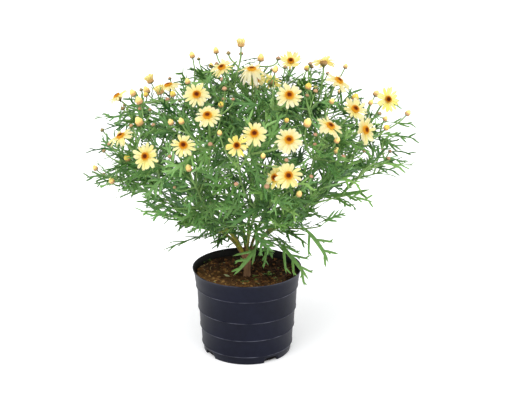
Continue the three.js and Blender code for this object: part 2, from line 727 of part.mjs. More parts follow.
function soil() {
  const points = [];
  const faces = [];
  const ring = (radius, height) => {
    for (let j = 0; j < SOIL_SEGMENTS; j += 1) {
      const turn = 2 * Math.PI * j / SOIL_SEGMENTS;
      const high = height === null ? soilHeight(radius, turn) : height;
      points.push(new THREE.Vector3(radius * Math.cos(turn), radius * Math.sin(turn), high));
    }
  };
  ring(SOIL_BOTTOM_RADIUS, POT_FLOOR + CLEAR);
  ring(SOIL_WALL[0], SOIL_WALL[1]);
  ring(SOIL_EDGE[0], SOIL_EDGE[1]);
  SOIL_RINGS.forEach((radius) => ring(radius, null));
  ring(HOLE_RADIUS, SOIL_TOP);
  ring(HOLE_RADIUS, HOLE_BOTTOM);
  const rings = points.length / SOIL_SEGMENTS;
  for (let i = 0; i < rings - 1; i += 1) {
    for (let j = 0; j < SOIL_SEGMENTS; j += 1) {
      const a = i * SOIL_SEGMENTS + j;
      const b = i * SOIL_SEGMENTS + (j + 1) % SOIL_SEGMENTS;
      faces.push([a, b, b + SOIL_SEGMENTS], [a, b + SOIL_SEGMENTS, a + SOIL_SEGMENTS]);
    }
  }
  const last = (rings - 1) * SOIL_SEGMENTS;
  for (let j = 1; j < SOIL_SEGMENTS - 1; j += 1) {
    faces.push([0, j + 1, j]);
    faces.push([last, last + j, last + j + 1]);
  }
  return body(points, faces);
}

function trunk() {
  const centres = TRUNK_PROFILE.map(([, high]) => new THREE.Vector3(0, 0, high));
  const radii = TRUNK_PROFILE.map(([radius]) => radius);
  let solid = tube(centres, radii, TRUNK_SIDES);
  STEMS.forEach((_, number) => {
    const curve = forkCurve(number);
    const places = [];
    const thick = [];
    for (let i = 0; i <= FORK_STEPS; i += 1) {
      places.push(onCurve(curve, i / FORK_STEPS));
      thick.push(FORK_THICK[0] + (FORK_THICK[1] - FORK_THICK[0]) * i / FORK_STEPS);
    }
    solid = solid.add(tube(places, thick, FORK_SIDES));
  });
  return solid;
}

// Bare limb of a stem, shoot or twig, with the cup under a bloom or the bud at its end.
function limb(curve) {
  const centres = [];
  const radii = [];
  const along = (thickFrom, thickTo) => {
    corners(curve).forEach((place, i) => {
      centres.push(place);
      radii.push(thickFrom + (thickTo - thickFrom) * i / curve.steps);
    });
    if (curve.parent !== undefined) {
      radii[0] = ROOT_THICK;
    }
  };
  const head = curve.points[3];
  const axis = alongCurve(curve.points, 1);
  const atEnd = (back, radius) => {
    centres.push(head.clone().addScaledVector(axis, -back));
    radii.push(radius);
  };
  if (curve.kind === 'stem') {
    along(STEM_THICK[0], STEM_THICK[1]);
    return tube(centres, radii, LIMB_SIDES);
  }
  if (curve.kind === 'twig') {
    along(1.0, 0.7);
    return tube(centres, radii, LIMB_SIDES);
  }
  if (curve.kind === 'bloom') {
    along(1.05, 0.8);
    atEnd(4.4, 2.6);
    atEnd(CUP_DROP + Math.max(-BLOOMS[curve.item].rise, 0) * 0.12, 4.2);
    return tube(centres, radii, LIMB_SIDES);
  }
  const wide = BUDS[curve.item].wide / 2;
  along(0.85, 0.7);
  atEnd(wide * (wide > PLUMP ? 0.55 : 0.1), wide * 0.95);
  if (wide > PLUMP) {
    atEnd(-wide * 0.35, wide * 0.85);
  }
  atEnd(-wide * 0.95, 0);
  return tube(centres, radii, LIMB_SIDES);
}

// Leaves of one stem, each with its pairs of lobes, in the order they are set. Twigs end in one.
function leavesOf(number, curves) {
  const leaves = [];
  SKIRT_LEAVES.filter((entry) => entry.stem === number).forEach((entry) => {
    const root = onLimb(curves[0], entry.along);
    leaves.push({ curve: curves[0], root, tip: vector(entry.tip), pairs: entry.pairs });
  });
  curves.filter((curve) => curve.kind === 'twig').forEach((curve) => {
    const end = curve.points[3];
    const root = end.clone().addScaledVector(alongCurve(curve.points, 1), -1.2);
    const reach = new THREE.Vector3(end.x, end.y, TIP_LEAF_RISE).normalize();
    const tip = aboveUnderside(end.clone().addScaledVector(reach, TIP_LEAF_LONG));
    leaves.push({ curve, root, tip, pairs: 2 });
  });
  curves.forEach((curve) => {
    const setting = LEAF_SETTING[curve.kind];
    leafPlaces(curve, setting).forEach((place) => leaves.push({ ...place, pairs: 2 }));
  });
  return leaves;
}

// Boxes are compared first, as the distance between two bodies takes long to find.
function nearby(one, other, reach) {
  const a = one.boundingBox();
  const b = other.boundingBox();
  return [0, 1, 2].every((i) => a.min[i] - reach < b.max[i] && b.min[i] - reach < a.max[i]);
}

function clearOf(solid, obstacles) {
  return obstacles.every((other) => !nearby(solid, other, CLEAR) || solid.minGap(other, 1) >= CLEAR);
}

const potSolid = pot();
const soilSolid = soil();
const trunkSolid = trunk();
const raySolids = BLOOMS.map((bloom, number) => rays(bloom, number));
const discSolids = BLOOMS.map((bloom) => disc(bloom));
const plan = growthPlan();
const limbs = plan.map((curves) => curves.map((curve) => limb(curve)));
const blades = plan.map(() => []);
const still = [potSolid, soilSolid, trunkSolid, ...raySolids, ...discSolids];

// A leaf that would touch another piece is turned about its foot, or else left out.
plan.forEach((curves, number) => {
  leavesOf(number, curves).forEach((entry) => {
    const bearer = limbs[number][curves.indexOf(entry.curve)];
    const obstacles = [...still, ...limbs.flat(), ...blades.flat()].filter((other) => other !== bearer);
    for (const degrees of LEAF_TURNS) {
      const turned = entry.tip.clone().sub(entry.root).applyAxisAngle(UP, radians(degrees));
      const blade = leaf(entry.root, turned.add(entry.root), entry.pairs);
      if (clearOf(blade, obstacles)) {
        blades[number].push(blade);
        break;
      }
    }
  });
});

function paint(color, roughness) {
  return new THREE.MeshStandardMaterial({ color, roughness, metalness: 0 });
}
const potPlastic = paint(0x24262c, 0.55);
const peat = paint(0x4a2f1e, 0.95);
const bark = paint(0x77624a, 0.9);
const foliage = paint(0x5c8a3c, 0.65);
const rayYellow = paint(0xf6e59a, 0.6);
const discBrown = paint(0xa8521c, 0.8);

const group = new THREE.Group();
group.add(meshFrom(potSolid, 'pot', potPlastic));
group.add(meshFrom(soilSolid, 'soil', peat));
group.add(meshFrom(trunkSolid, 'woody_trunk', bark));
plan.forEach((_, number) => {
  const stem = wasm.Manifold.union([...limbs[number], ...blades[number]]);
  group.add(meshFrom(stem, `leafy_stem_${number + 1}`, foliage));
});
BLOOMS.forEach((_, number) => {
  group.add(meshFrom(raySolids[number], `bloom_${number + 1}_rays`, rayYellow));
  group.add(meshFrom(discSolids[number], `bloom_${number + 1}_disc`, discBrown));
});

export default group;
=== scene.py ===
import json
import math
import random

import bmesh
import bpy
import numpy as np
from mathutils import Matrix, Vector, noise

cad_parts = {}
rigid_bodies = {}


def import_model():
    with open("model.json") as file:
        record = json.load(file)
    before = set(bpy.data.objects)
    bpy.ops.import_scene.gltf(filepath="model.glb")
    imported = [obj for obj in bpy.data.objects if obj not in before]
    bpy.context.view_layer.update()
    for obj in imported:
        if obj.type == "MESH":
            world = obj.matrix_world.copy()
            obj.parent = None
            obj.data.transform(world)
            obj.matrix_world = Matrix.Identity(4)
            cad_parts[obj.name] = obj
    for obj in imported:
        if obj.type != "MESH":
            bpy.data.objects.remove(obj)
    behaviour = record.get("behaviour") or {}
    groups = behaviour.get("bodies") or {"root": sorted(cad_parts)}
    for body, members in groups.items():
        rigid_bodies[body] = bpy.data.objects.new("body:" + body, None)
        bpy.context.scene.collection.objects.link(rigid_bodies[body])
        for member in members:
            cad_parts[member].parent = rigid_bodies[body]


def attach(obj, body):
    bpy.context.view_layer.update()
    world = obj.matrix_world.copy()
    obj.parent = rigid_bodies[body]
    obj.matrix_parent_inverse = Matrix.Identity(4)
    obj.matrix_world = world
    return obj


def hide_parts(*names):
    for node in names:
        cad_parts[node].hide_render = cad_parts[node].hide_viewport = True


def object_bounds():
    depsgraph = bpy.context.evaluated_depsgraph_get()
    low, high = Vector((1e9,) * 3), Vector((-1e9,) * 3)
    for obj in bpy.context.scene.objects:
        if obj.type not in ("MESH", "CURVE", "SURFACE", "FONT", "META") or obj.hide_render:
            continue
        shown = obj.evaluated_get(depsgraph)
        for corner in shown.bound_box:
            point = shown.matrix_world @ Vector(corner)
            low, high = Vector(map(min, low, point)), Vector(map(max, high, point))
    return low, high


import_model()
solids_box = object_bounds()

# Lengths below are millimetres in the part's own frame. Blender takes metres.
MM = 0.001
UP = np.array([0.0, 0.0, 1.0])

# Seeds of all that is left to chance. Stems, rays and discs add their number to theirs.
TWIG_SEED = 41
STEM_SEED = 300
RAY_SEED = 700
DISC_SEED = 900
SOIL_SEED = 52

# Camera: what it looks at, how far away and how high it stands, its lens and, in metres, its reach.
CAMERA_TARGET = (10.7, 0.0, 187.0)
CAMERA_DISTANCE = 1372.0
CAMERA_ELEVATION = 18.27
CAMERA_LENS = 82.55
CAMERA_SEES_TO = 50.0
SENSOR_WIDTH = 36.0
# Half the floor in metres, the glow of floor and surroundings, and the suns: azimuth, elevation,
# strength and spread.
FLOOR_HALF = 9.0
FLOOR_GLOW = 0.2
SURROUND = 0.86
SUNS = (("key", -22, 60, 1.65, 36), ("fill", 40, 40, 0.5, 60))

# Crown of the plant, as in the solids: forks of the trunk, then the azimuth and hub of each stem.
FORK_ROOT_HEIGHT = 107.0
FORK_TIP_RADIUS = 8.8
FORK_TIP_HEIGHT = 126.0
# Knee and bend of a fork that leans out: radius, and height over its root and under its tip.
FORK_KNEE = (2.2, 7.0)
FORK_BEND = (6.0, 5.0)
MIDDLE_FORK = ((0.0, 0.0, 107.0), (0.0, 0.0, 113.0), (0.3, 0.2, 120.0), (0.6, 0.4, 127.0))
FORK_GAP = 0.7
STEM_OUTWARD = 0.9
STEM_PULL = 0.35
STEMS = [
    (60, (6, 2, 250)), (3, (9, -92, 216)), (-38, (-54, -74, 226)), (-80, (-100, -30, 214)),
    (-124, (-84, 46, 236)), (-168, (-24, 92, 222)), (146, (58, 80, 224)), (101, (103, 14, 220)),
    (50, (76, -64, 218)),
]
# Straight pieces in the solid of each kind of limb, and its sides.
LIMB_STEPS = {"stem": 5, "bloom": 2, "twig": 2, "bud": 1}
LIMB_SIDES = 5
# How far along each kind of limb others may start, and how long a shoot to its head is at least.
LIMB_LIMITS = {"stem": 0.97, "bloom": 0.62, "twig": 0.9, "bud": 0.7}
SHOOT_LEAST = {"bloom": 48, "twig": 24, "bud": 20}
SHOOT_FROM = 0.22
SHOOT_STEP = 0.06
SHOOT_RISE = 0.25
SHOOT_SIDEWAYS = 0.9
SHOOT_LEAVE = 0.3
SHOOT_ARRIVE = 0.42
# What makes a place for a shoot worse: a turn in its way, blooms it meets and stems it crowds.
TURN_COST = 1.7
BLOOM_COST = 60
CROWD_COST = 40
CROWD_GAP = 4.5
BLOOM_NECK = 7.0
BUD_NECK = 1.5
TWIG_RISE = 40.0
BUD_LEAN = 260.0

# Blooms: stem, place, facing as azimuth and elevation, width, and rise of the ray tips.
BLOOMS = [
    (0, (51, 40, 343), (0, 53), 25.5, 4.5), (0, (6, -30, 348), (-18, 80), 33, -5),
    (0, (-27, -20, 348), (-42, 60), 29, 0), (2, (-53, -70, 329), (0, 42), 30.5, 0.5),
    (4, (-90, 20, 319), (-70, 76), 30, -1.5), (1, (46, -90, 333), (0, 40), 31, 0.5),
    (2, (-40, -110, 316), (-8, 54), 31, 0), (2, (-65, -125, 288), (4, 42), 28, 0.5),
    (3, (-106, -110, 272), (-22, 20), 30, 0), (3, (-136, -70, 283), (-56, 63), 31, -2),
    (4, (-148, 10, 309), (-88, 58), 26, -1), (1, (-9, -140, 292), (0, 26), 25, 2),
    (1, (9, -130, 302), (0, 38), 29, 0.5), (1, (45, -130, 295), (0, 44), 31.5, 0.5),
    (8, (89, -100, 302), (42, 55), 30, 0), (8, (119, -50, 308), (34, 45), 30, 3),
    (8, (129, -70, 290), (47, 18), 31, 2.5), (7, (102, -28, 335), (62, 54), 32, -1),
    (7, (162, 10, 305), (14, 20), 29, 1), (6, (88, 20, 347), (178, 58), 30, -0.5),
    (1, (44, -150, 263), (6, 20), 30, 0.3), (1, (31, -128, 254), (-42, 20), 27, 1),
    (0, (11, -3, 332), (0, 30), 24, 2.5), (6, (29, 30, 321), (160, 34), 25, 3),
]
# Age of each bloom, from 0 just opened, with a dark disc, to 1 with its florets open.
BLOOM_AGES = [
    0.3, 1.0, 0.6, 0.65, 0.8, 0.95, 0.85, 0.6, 0.5, 0.75, 0.3, 0.05,
    0.6, 0.95, 0.8, 0.7, 0.75, 0.9, 0.2, 0.6, 0.6, 0.5, 0.6, 0.0,
]
# Blooms whose rays stand higher towards +X and the back, and lower opposite.
RAY_LEANS = {1: (3.5, 7.5), 0: (0.0, 2.0), 19: (0.0, -1.5)}
RAY_COUNTS = [
    16, 15, 14, 15, 14, 15, 14, 13, 14, 14, 13, 13, 14, 16, 15, 14, 15, 15, 15, 15, 14, 13, 13, 13,
]

# Buds: stem, place, width, and ripeness from 0, green, to 1, with its rays showing.
BUDS = [
    (0, (-6, 0, 370), 8.5, 0.97), (0, (16, 2, 353), 7.5, 0.7), (0, (-35, 30, 356), 6.5, 0.7),
    (1, (56, -125, 234), 6, 0.7), (2, (-68, -98, 306), 6, 0.7), (2, (-60, -117, 260), 6.5, 0.7),
    (2, (-64, -40, 336), 6, 0.6), (3, (-116, -60, 295), 8.5, 0.74), (3, (-130, -66, 256), 7, 0.85),
    (3, (-172, -20, 231), 6, 0.55), (3, (-150, -50, 225), 6.5, 0.55), (4, (-112, 38, 320), 8.5, 1.0),
    (4, (-127, -12, 316), 7, 0.7), (4, (-96, -22, 321), 8.5, 1.0), (4, (-167, 12, 268), 5, 0.1),
    (4, (-61, 4, 356), 6.5, 0.7), (4, (-118, 56, 303), 8, 0.7), (5, (-44, 112, 322), 6, 0.6),
    (5, (4, 134, 300), 7.5, 1.0), (5, (-84, 124, 276), 5, 0.3), (5, (-20, 156, 256), 5.5, 0.4),
    (6, (72, 96, 322), 7, 0.9), (6, (112, 92, 294), 5.5, 0.5), (6, (56, 142, 272), 5, 0.3),
    (7, (150, 34, 305), 7, 0.5), (7, (182, -10, 293), 6.5, 0.5), (8, (155, -40, 284), 6.5, 0.85),
    (8, (64, -114, 308), 8, 0.74), (8, (96, -104, 287), 6, 0.74),
]
# Small buds that only this finer model has.
FINE_BUDS = [
    (0, (-20, -8, 362), 5, 0.15), (0, (36, 16, 351), 5.5, 0.3), (1, (-27, -122, 300), 5, 0.7),
    (1, (31, -60, 353), 5.5, 0.6), (2, (-27, -72, 318), 6, 0.88), (6, (114, 36, 337), 5.5, 0.5),
    (7, (72, 10, 346), 5, 0.3), (7, (164, 44, 262), 5, 0.3), (8, (96, -98, 274), 6, 0.6),
    (8, (68, -38, 330), 7, 0.88), (1, (22, -134, 246), 6, 0.3),
    (0, (-34, 10, 346), 5, 0.3), (0, (33, 4, 341), 6, 0.6), (0, (-6, 4, 359), 5, 0.4),
    (0, (-26, -36, 338), 6, 0.35), (0, (11, -22, 329), 4.5, 0.4),
    (1, (43, -100, 308), 5, 0.8), (1, (18, -132, 278), 5, 0.74), (1, (3, -124, 300), 4, 0.25),
    (1, (-10, -132, 248), 5, 0.35), (1, (42, -142, 277), 4.5, 0.35), (1, (69, -118, 252), 4.5, 0.35),
    (1, (-5, -128, 285), 3.6, 0.25),
    (2, (-23, -72, 336), 5.5, 0.45), (2, (-81, -104, 270), 4.5, 0.3), (2, (-37, -124, 289), 5, 0.35),
    (2, (-14, -70, 324), 4, 0.3), (2, (-80, -86, 302), 6, 0.55), (2, (-76, -112, 238), 3.6, 0.25),
    (2, (-34, -102, 281), 3.6, 0.2), (2, (-24, -60, 322), 4.5, 0.3),
    (3, (-118, -36, 313), 8, 0.6), (3, (-101, -64, 294), 4.5, 0.3), (3, (-103, -76, 268), 5, 0.74),
    (3, (-160, -34, 256), 4.5, 0.2), (3, (-118, -32, 304), 5.5, 0.45), (3, (-126, -56, 291), 4.5, 0.45),
    (3, (-164, -12, 222), 4, 0.25), (3, (-152, -48, 268), 4.5, 0.45), (3, (-106, -44, 306), 4, 0.2),
    (4, (-114, 0, 312), 5.5, 0.85), (4, (-120, 6, 317), 4.5, 0.2), (4, (-81, -32, 320), 6.5, 0.88),
    (4, (-88, -22, 312), 6, 0.35), (4, (-142, 10, 294), 5, 0.25), (4, (-144, 44, 290), 4.5, 0.3),
    (4, (-92, 70, 316), 4.5, 0.3), (5, (-58, 88, 336), 4.5, 0.2), (5, (30, 120, 316), 4.5, 0.3),
    (5, (-44, 146, 284), 5.5, 0.7), (5, (-10, 140, 300), 4.5, 0.3), (6, (44, 20, 340), 4.5, 0.3),
    (6, (96, 70, 322), 5, 0.4), (6, (84, 120, 292), 6, 0.7), (6, (20, 126, 288), 4.5, 0.4),
    (7, (140, -6, 304), 5.5, 0.74), (7, (150, -14, 294), 5, 0.2), (7, (74, 14, 342), 5, 0.25),
    (7, (157, -8, 286), 5.5, 0.5), (7, (165, 0, 246), 4.5, 0.3), (7, (128, 84, 276), 5, 0.4),
    (7, (122, -10, 311), 8, 0.9), (7, (154, 60, 250), 4.5, 0.3),
    (8, (93, -54, 317), 5.5, 0.74), (8, (73, -108, 295), 4.5, 0.35), (8, (73, -104, 283), 4.5, 0.35),
    (8, (152, -46, 260), 4, 0.3), (8, (160, -30, 246), 5, 0.35), (8, (104, -98, 268), 5, 0.35),
    (8, (128, -76, 268), 3.8, 0.3), (8, (76, -40, 326), 5.5, 0.45), (8, (67, -40, 321), 4.5, 0.25),
]

# Leafy twigs: stem and tip, first those of the solids, then finer ones.
TWIGS = [
    (1, (40, -104, 192)), (1, (-18, -100, 190)), (2, (-92, -66, 190)), (2, (-44, -62, 172)),
    (3, (-152, -24, 219)), (3, (-76, -22, 168)), (4, (-120, 44, 220)), (4, (-64, 56, 178)),
    (5, (-54, 132, 214)), (5, (10, 88, 176)), (6, (92, 108, 216)), (6, (54, 60, 170)),
    (7, (163, 6, 221)), (7, (86, 20, 172)), (8, (112, -54, 210)), (8, (84, -44, 170)),
    (3, (-128, -4, 278)), (7, (150, 12, 262)), (5, (-6, 62, 262)), (4, (-62, 62, 284)),
    (6, (58, 74, 284)),
]
# Finer twigs that fill the outline, and how many more each stem has.
FINE_TWIGS = [
    (7, (160, -2, 282)), (7, (163, 0, 263)), (7, (160, 4, 243)), (8, (138, -30, 236)),
    (7, (146, 20, 298)), (3, (-150, -10, 252)), (4, (-146, 20, 282)), (3, (-120, -40, 226)),
    (0, (-50, 18, 334)), (4, (-66, 12, 322)), (0, (-30, 14, 336)), (6, (66, 44, 328)),
]
FINE_TWIGS_PER_STEM = 9
# Their tips: spread to each side of a stem, lowest lift and its span, shell and clear height.
FINE_TWIG_SPREAD = 24
FINE_TWIG_LIFTS = (-6, 86)
MIDDLE_TWIG_LIFTS = (38, 88)
FINE_TWIG_SHELL = (0.7, 0.98)
FINE_TWIG_CLEAR = 10.0
CROWN_CENTRE = np.array([0.0, 0.0, 205.0])
CROWN_RADII = np.array([158.0, 138.0, 142.0])
# Underside of the crown: no leaf but those that hang has its tip below this cone.
UNDERSIDE_HEIGHT = 124.0
UNDERSIDE_SLOPE = 0.53
UNDERSIDE_RAGGED = 14.0
# The finer leaves keep above this edge too: across the plant, and its height there. It tilts
# up towards the front.
EDGE_ACROSS = (-150, -120, -100, -75, -30, 0, 58, 70, 84, 100, 120, 165)
EDGE_HEIGHTS = (200, 188, 168, 150, 132, 126, 134, 160, 194, 212, 222, 232)
EDGE_TILT = 0.33
EDGE_SLACK = 4.0
TOP_RADII = np.array([190.0, 170.0, 151.0])
HANGING_SHARE = 0.2
HANGING_DEPTH = 30.0
HANGING_REACH = 150.0
HANGING_FADE = 1.5
OUTWARD_OVER = 320
# Places kept open so that a bloom behind them shows.
OPEN_PLACES = np.array([
    (28.0, 8.0, 329.0), (28.0, -14.0, 336.0), (11.0, -24.0, 338.0), (10.0, -18.0, 326.0)])
OPEN_RADIUS = 14.0

# Leaves that hang low round the crown: stem, how far along it, tip, and roll of the blade.
SKIRT_LEAVES = [
    (8, 0.15, (-15, -54, 114), 0), (8, 0.2, (19, -46, 119), 0), (8, 0.28, (71, -61, 111), -28),
    (8, 0.6, (94, -50, 127), -45), (3, 0.26, (-100, -20, 131), 0), (3, 0.6, (-77, -34, 161), 0),
    (7, 0.7, (143, -12, 204), -65), (4, 0.22, (-52, 44, 138), 0), (5, 0.2, (-4, 64, 130), 0),
    (6, 0.22, (52, 50, 138), 0), (7, 0.24, (72, 18, 140), 0),
]
# The same for the finer leaves round the foot of the stems.
FOOT_LEAVES = [
    (8, 0.12, (24, -36, 133), 10), (8, 0.17, (42, -32, 138), -20), (8, 0.24, (54, -44, 140), 10),
    (8, 0.3, (50, -62, 148), 30), (8, 0.36, (70, -52, 150), -20), (7, 0.12, (34, -6, 138), 0),
    (7, 0.2, (58, -10, 146), -15), (7, 0.3, (76, -14, 156), 20), (1, 0.15, (14, -38, 138), 25),
    (1, 0.22, (-8, -46, 146), -10), (1, 0.3, (24, -62, 150), 0), (3, 0.14, (-38, -24, 140), 10),
    (3, 0.22, (-54, -30, 150), -15), (2, 0.12, (-24, -30, 138), 0), (2, 0.2, (-34, -46, 148), 20),
    (2, 0.3, (-50, -52, 156), 0), (0, 0.12, (14, -20, 146), 0), (0, 0.2, (-16, -22, 150), 30),
    (6, 0.15, (32, 30, 140), 0), (5, 0.15, (-8, 42, 140), 0), (4, 0.15, (-40, 30, 142), 0),
    (8, 0.14, (32, -24, 128), -30), (8, 0.2, (60, -30, 132), 25), (1, 0.1, (4, -28, 134), 0),
]
TIP_LEAF_LONG = 32.0
TIP_LEAF_RISE = -14.0
LEAF_LEAN = 0.6
# Leaves on each kind of limb: spacing, stretch, longest and shortest, as in the solids.
LEAF_SETTING = {
    "stem": (30, 0.3, 1.0, 54, 44), "bloom": (36, 0.1, 0.62, 46, 34),
    "twig": (18, 0.3, 0.9, 44, 36), "bud": (70, 0.1, 0.6, 32, 28),
}
# The leaves between those.
FINE_LEAF_SETTING = {
    "stem": (7.8, 0.14, 1.0, 60, 44), "bloom": (8.2, 0.05, 0.82, 52, 26),
    "twig": (7.8, 0.12, 1.0, 50, 32), "bud": (11.0, 0.1, 0.66, 34, 22),
}
# Turn of the spiral of leaves from one to the next, and from one limb to the next.
GOLDEN_TURN = math.radians(137.5)
LIMB_TURN = 1.3
LEAF_TURN_SLACK = 0.4
FINE_REACH = (0.8, 1.1)
FINE_LEAN = (0.5, 1.1)

# Finishes of a leafy stem, by their place in its list of materials.
SKIN, BLADE, SCALE, YOUNG_RAY = range(4)


def colour(red, green, blue):
    """Linear colour of a screen colour given in steps of 255."""
    parts = []
    for step in (red, green, blue):
        share = step / 255
        parts.append(share / 12.92 if share <= 0.04045 else ((share + 0.055) / 1.055) ** 2.4)
    return (*parts, 1.0)


def unit(vector):
    return vector / np.linalg.norm(vector)


def facing(azimuth, elevation):
    """Direction by azimuth from the front, turning towards +X, and by elevation."""
    a = math.radians(azimuth)
    e = math.radians(elevation)
    return np.array([math.sin(a) * math.cos(e), -math.cos(a) * math.cos(e), math.sin(e)])


def on_curve(curve, t):
    s = 1 - t
    return curve[0] * s ** 3 + curve[1] * 3 * s * s * t + curve[2] * 3 * s * t * t + curve[3] * t ** 3


def along_curve(curve, t):
    s = 1 - t
    slope = (curve[0] * (-3 * s * s) + curve[1] * (3 * s * s - 6 * s * t)
             + curve[2] * (6 * s * t - 3 * t * t) + curve[3] * (3 * t * t))
    return unit(slope)


def square_to(direction):
    """A direction square to the one given, as near as it can be to straight up."""
    guide = np.array([0.0, 1.0, 0.0]) if abs(direction[2]) > 0.95 else UP
    return unit(guide - direction * guide.dot(direction))


def square_part(vector, direction):
    part = vector - direction * vector.dot(direction)
    return square_to(direction) if np.linalg.norm(part) < 1e-6 else unit(part)


def square_pair(axis):
    """Two directions square to an axis and to each other."""
    across = square_to(axis)
    return across, np.cross(axis, across)


def turned(across, other, turn):
    """The first direction turned towards the second."""
    return across * math.cos(turn) + other * math.sin(turn)


def turns(count):
    """Even turns round a circle."""
    return [2 * math.pi * j / count for j in range(count)]


def level_way(turn, rise=0.0):
    return np.array([math.cos(turn), math.sin(turn), rise])


def round_place(turn, radius, high):
    return level_way(turn) * radius + UP * high


def clamped(value):
    return min(max(value, 0.0), 1.0)


def frames_along(centres):
    """Two directions square to a run of centre points, carried along it without twisting."""
    across = square_to(unit(centres[1] - centres[0]))
    frames = []
    for i in range(len(centres)):
        direction = unit(centres[min(i + 1, len(centres) - 1)] - centres[max(i - 1, 0)])
        across = unit(across - direction * across.dot(direction))
        frames.append((across, np.cross(direction, across)))
    return frames


# Growth plan: the same rule that sets the limbs of the solids.

BLOOM_PLACES = np.array([bloom[1] for bloom in BLOOMS], float)
BLOOM_AXES = np.array([facing(*bloom[2]) for bloom in BLOOMS])
BLOOM_REACH = np.array([bloom[3] / 2 + 1.5 for bloom in BLOOMS])
BLOOM_HALF_DEEP = 4


def fork_curve(number):
    if number == 0:
        return [np.array(place) for place in MIDDLE_FORK]
    out = facing(STEMS[number][0], 0)
    knee = out * FORK_KNEE[0] + UP * (FORK_ROOT_HEIGHT + FORK_KNEE[1])
    bend = out * FORK_BEND[0] + UP * (FORK_TIP_HEIGHT - FORK_BEND[1])
    tip = out * FORK_TIP_RADIUS + UP * FORK_TIP_HEIGHT
    return [UP * FORK_ROOT_HEIGHT, knee, bend, tip]


def stem_curve(number):
    fork = fork_curve(number)
    direction = along_curve(fork, 1)
    start = fork[3] + direction * FORK_GAP
    hub = np.array(STEMS[number][1], float)
    reach = np.linalg.norm(hub - start)
    outward = np.array([hub[0], hub[1], 0.0]) * (STEM_OUTWARD / max(np.linalg.norm(hub), 1))
    arrive = unit(outward + UP)
    return [start, start + direction * reach * STEM_PULL, hub - arrive * reach * STEM_PULL, hub]


def from_blooms(place):
    """How far a place is from each bloom, along its axis and square to it."""
    away = place - BLOOM_PLACES
    high = np.einsum("ij,ij->i", away, BLOOM_AXES)
    wide = np.sqrt(np.maximum(np.einsum("ij,ij->i", away, away) - high * high, 0))
    return high, wide


def in_blooms(place, own):
    """How many blooms, other than its own, a shoot's point would pass through."""
    high, wide = from_blooms(place)
    inside = np.maximum(np.abs(high) - BLOOM_HALF_DEEP, wide - BLOOM_REACH) < 0
    if own >= 0:
        inside[own] = False
    return int(inside.sum())


def shoot_to(head, axis, curves, minimum, others, own):
    """A shoot from the best place on the curves already there to a head facing along an axis."""
    best = None
    for curve in curves:
        t = SHOOT_FROM
        while t < LIMB_LIMITS[curve["kind"]]:
            root = on_curve(curve["points"], t)
            along = along_curve(curve["points"], t)
            reach = head - root
            distance = np.linalg.norm(reach)
            if distance >= minimum and root[2] <= head[2] - minimum * SHOOT_RISE:
                reach = reach / distance
                leave = unit(along + square_part(reach, along) * SHOOT_SIDEWAYS)
                path = [root, root + leave * distance * SHOOT_LEAVE,
                        head - axis * distance * SHOOT_ARRIVE, head]
                cost = distance * (TURN_COST - reach.dot(along))
                for i in range(2, 12):
                    place = on_curve(path, i / 12)
                    cost += BLOOM_COST * in_blooms(place, own)
                    gaps = np.linalg.norm(others - place, axis=1)
                    cost += CROWD_COST * int((gaps < CROWD_GAP).sum())
                if best is None or cost < best[0]:
                    best = (cost, path, curve, t)
            t += SHOOT_STEP
    return best


def limb_end(kind, item, points):
    """Share of a limb's length up to the neck of its bloom or bud."""
    if kind == "twig":
        return 1.0
    neck = BLOOM_NECK if kind == "bloom" else item[2] / 2 + BUD_NECK
    return 1 - neck / np.linalg.norm(points[3] - points[0])


def growth_plan():
    """All the curves of the plant, stem by stem, each with what it carries."""
    plan = []
    samples = []
    for number in range(len(STEMS)):
        points = stem_curve(number)
        plan.append([{"kind": "stem", "points": points, "flat": 0, "end": 1.0, "parent": None,
                      "fine": False}])
        samples.append([on_curve(points, i / 24) for i in range(2, 25)])

    def grow(number, kind, head, axis, item, fine, own=-1):
        others = np.array([place for i, run in enumerate(samples) if i != number for place in run])
        found = shoot_to(head, axis, plan[number], SHOOT_LEAST[kind], others, own)
        if found is None:
            return
        points = found[1]
        plan[number].append({
            "kind": kind, "points": points, "flat": len(plan[number]), "item": item,
            "end": limb_end(kind, item, points), "parent": found[2], "at": found[3], "fine": fine})
        samples[number].extend(on_curve(points, i / 16) for i in range(1, 17))

    def grow_twigs(twigs, fine):
        for number, tip in twigs:
            tip = np.array(tip, float)
            axis = unit(np.array([tip[0], tip[1], TWIG_RISE]))
            grow(number, "twig", tip, axis, None, fine)

    def grow_buds(buds, fine):
        for bud in buds:
            place = np.array(bud[1], float)
            axis = unit(np.array([place[0] / BUD_LEAN, place[1] / BUD_LEAN, 1.0]))
            grow(bud[0], "bud", place, axis, bud, fine)

    for own, bloom in enumerate(BLOOMS):
        grow(bloom[0], "bloom", np.array(bloom[1], float), facing(*bloom[2]), bloom, False, own)
    grow_twigs(TWIGS, False)
    grow_buds(BUDS, False)
    grow_buds(FINE_BUDS, True)
    grow_twigs(FINE_TWIGS + fine_twig_tips(), True)
    return plan


def fine_twig_tips():
    """Tips of the finer twigs, spread over a shell inside the crown, each side of its stem."""
    draw = random.Random(TWIG_SEED)
    tips = []
    for number, (azimuth, _) in enumerate(STEMS):
        for i in range(FINE_TWIGS_PER_STEM):
            if number == 0:
                turn = draw.uniform(-180, 180)
                lift = draw.uniform(*MIDDLE_TWIG_LIFTS)
            else:
                turn = azimuth + draw.uniform(-FINE_TWIG_SPREAD, FINE_TWIG_SPREAD)
                lowest, span = FINE_TWIG_LIFTS
                lift = lowest + span * (i + draw.random()) / FINE_TWIGS_PER_STEM
            tip = CROWN_CENTRE + facing(turn, lift) * CROWN_RADII * draw.uniform(*FINE_TWIG_SHELL)
            tips.append((number, above_underside(tip, FINE_TWIG_CLEAR, True)))
    return tips


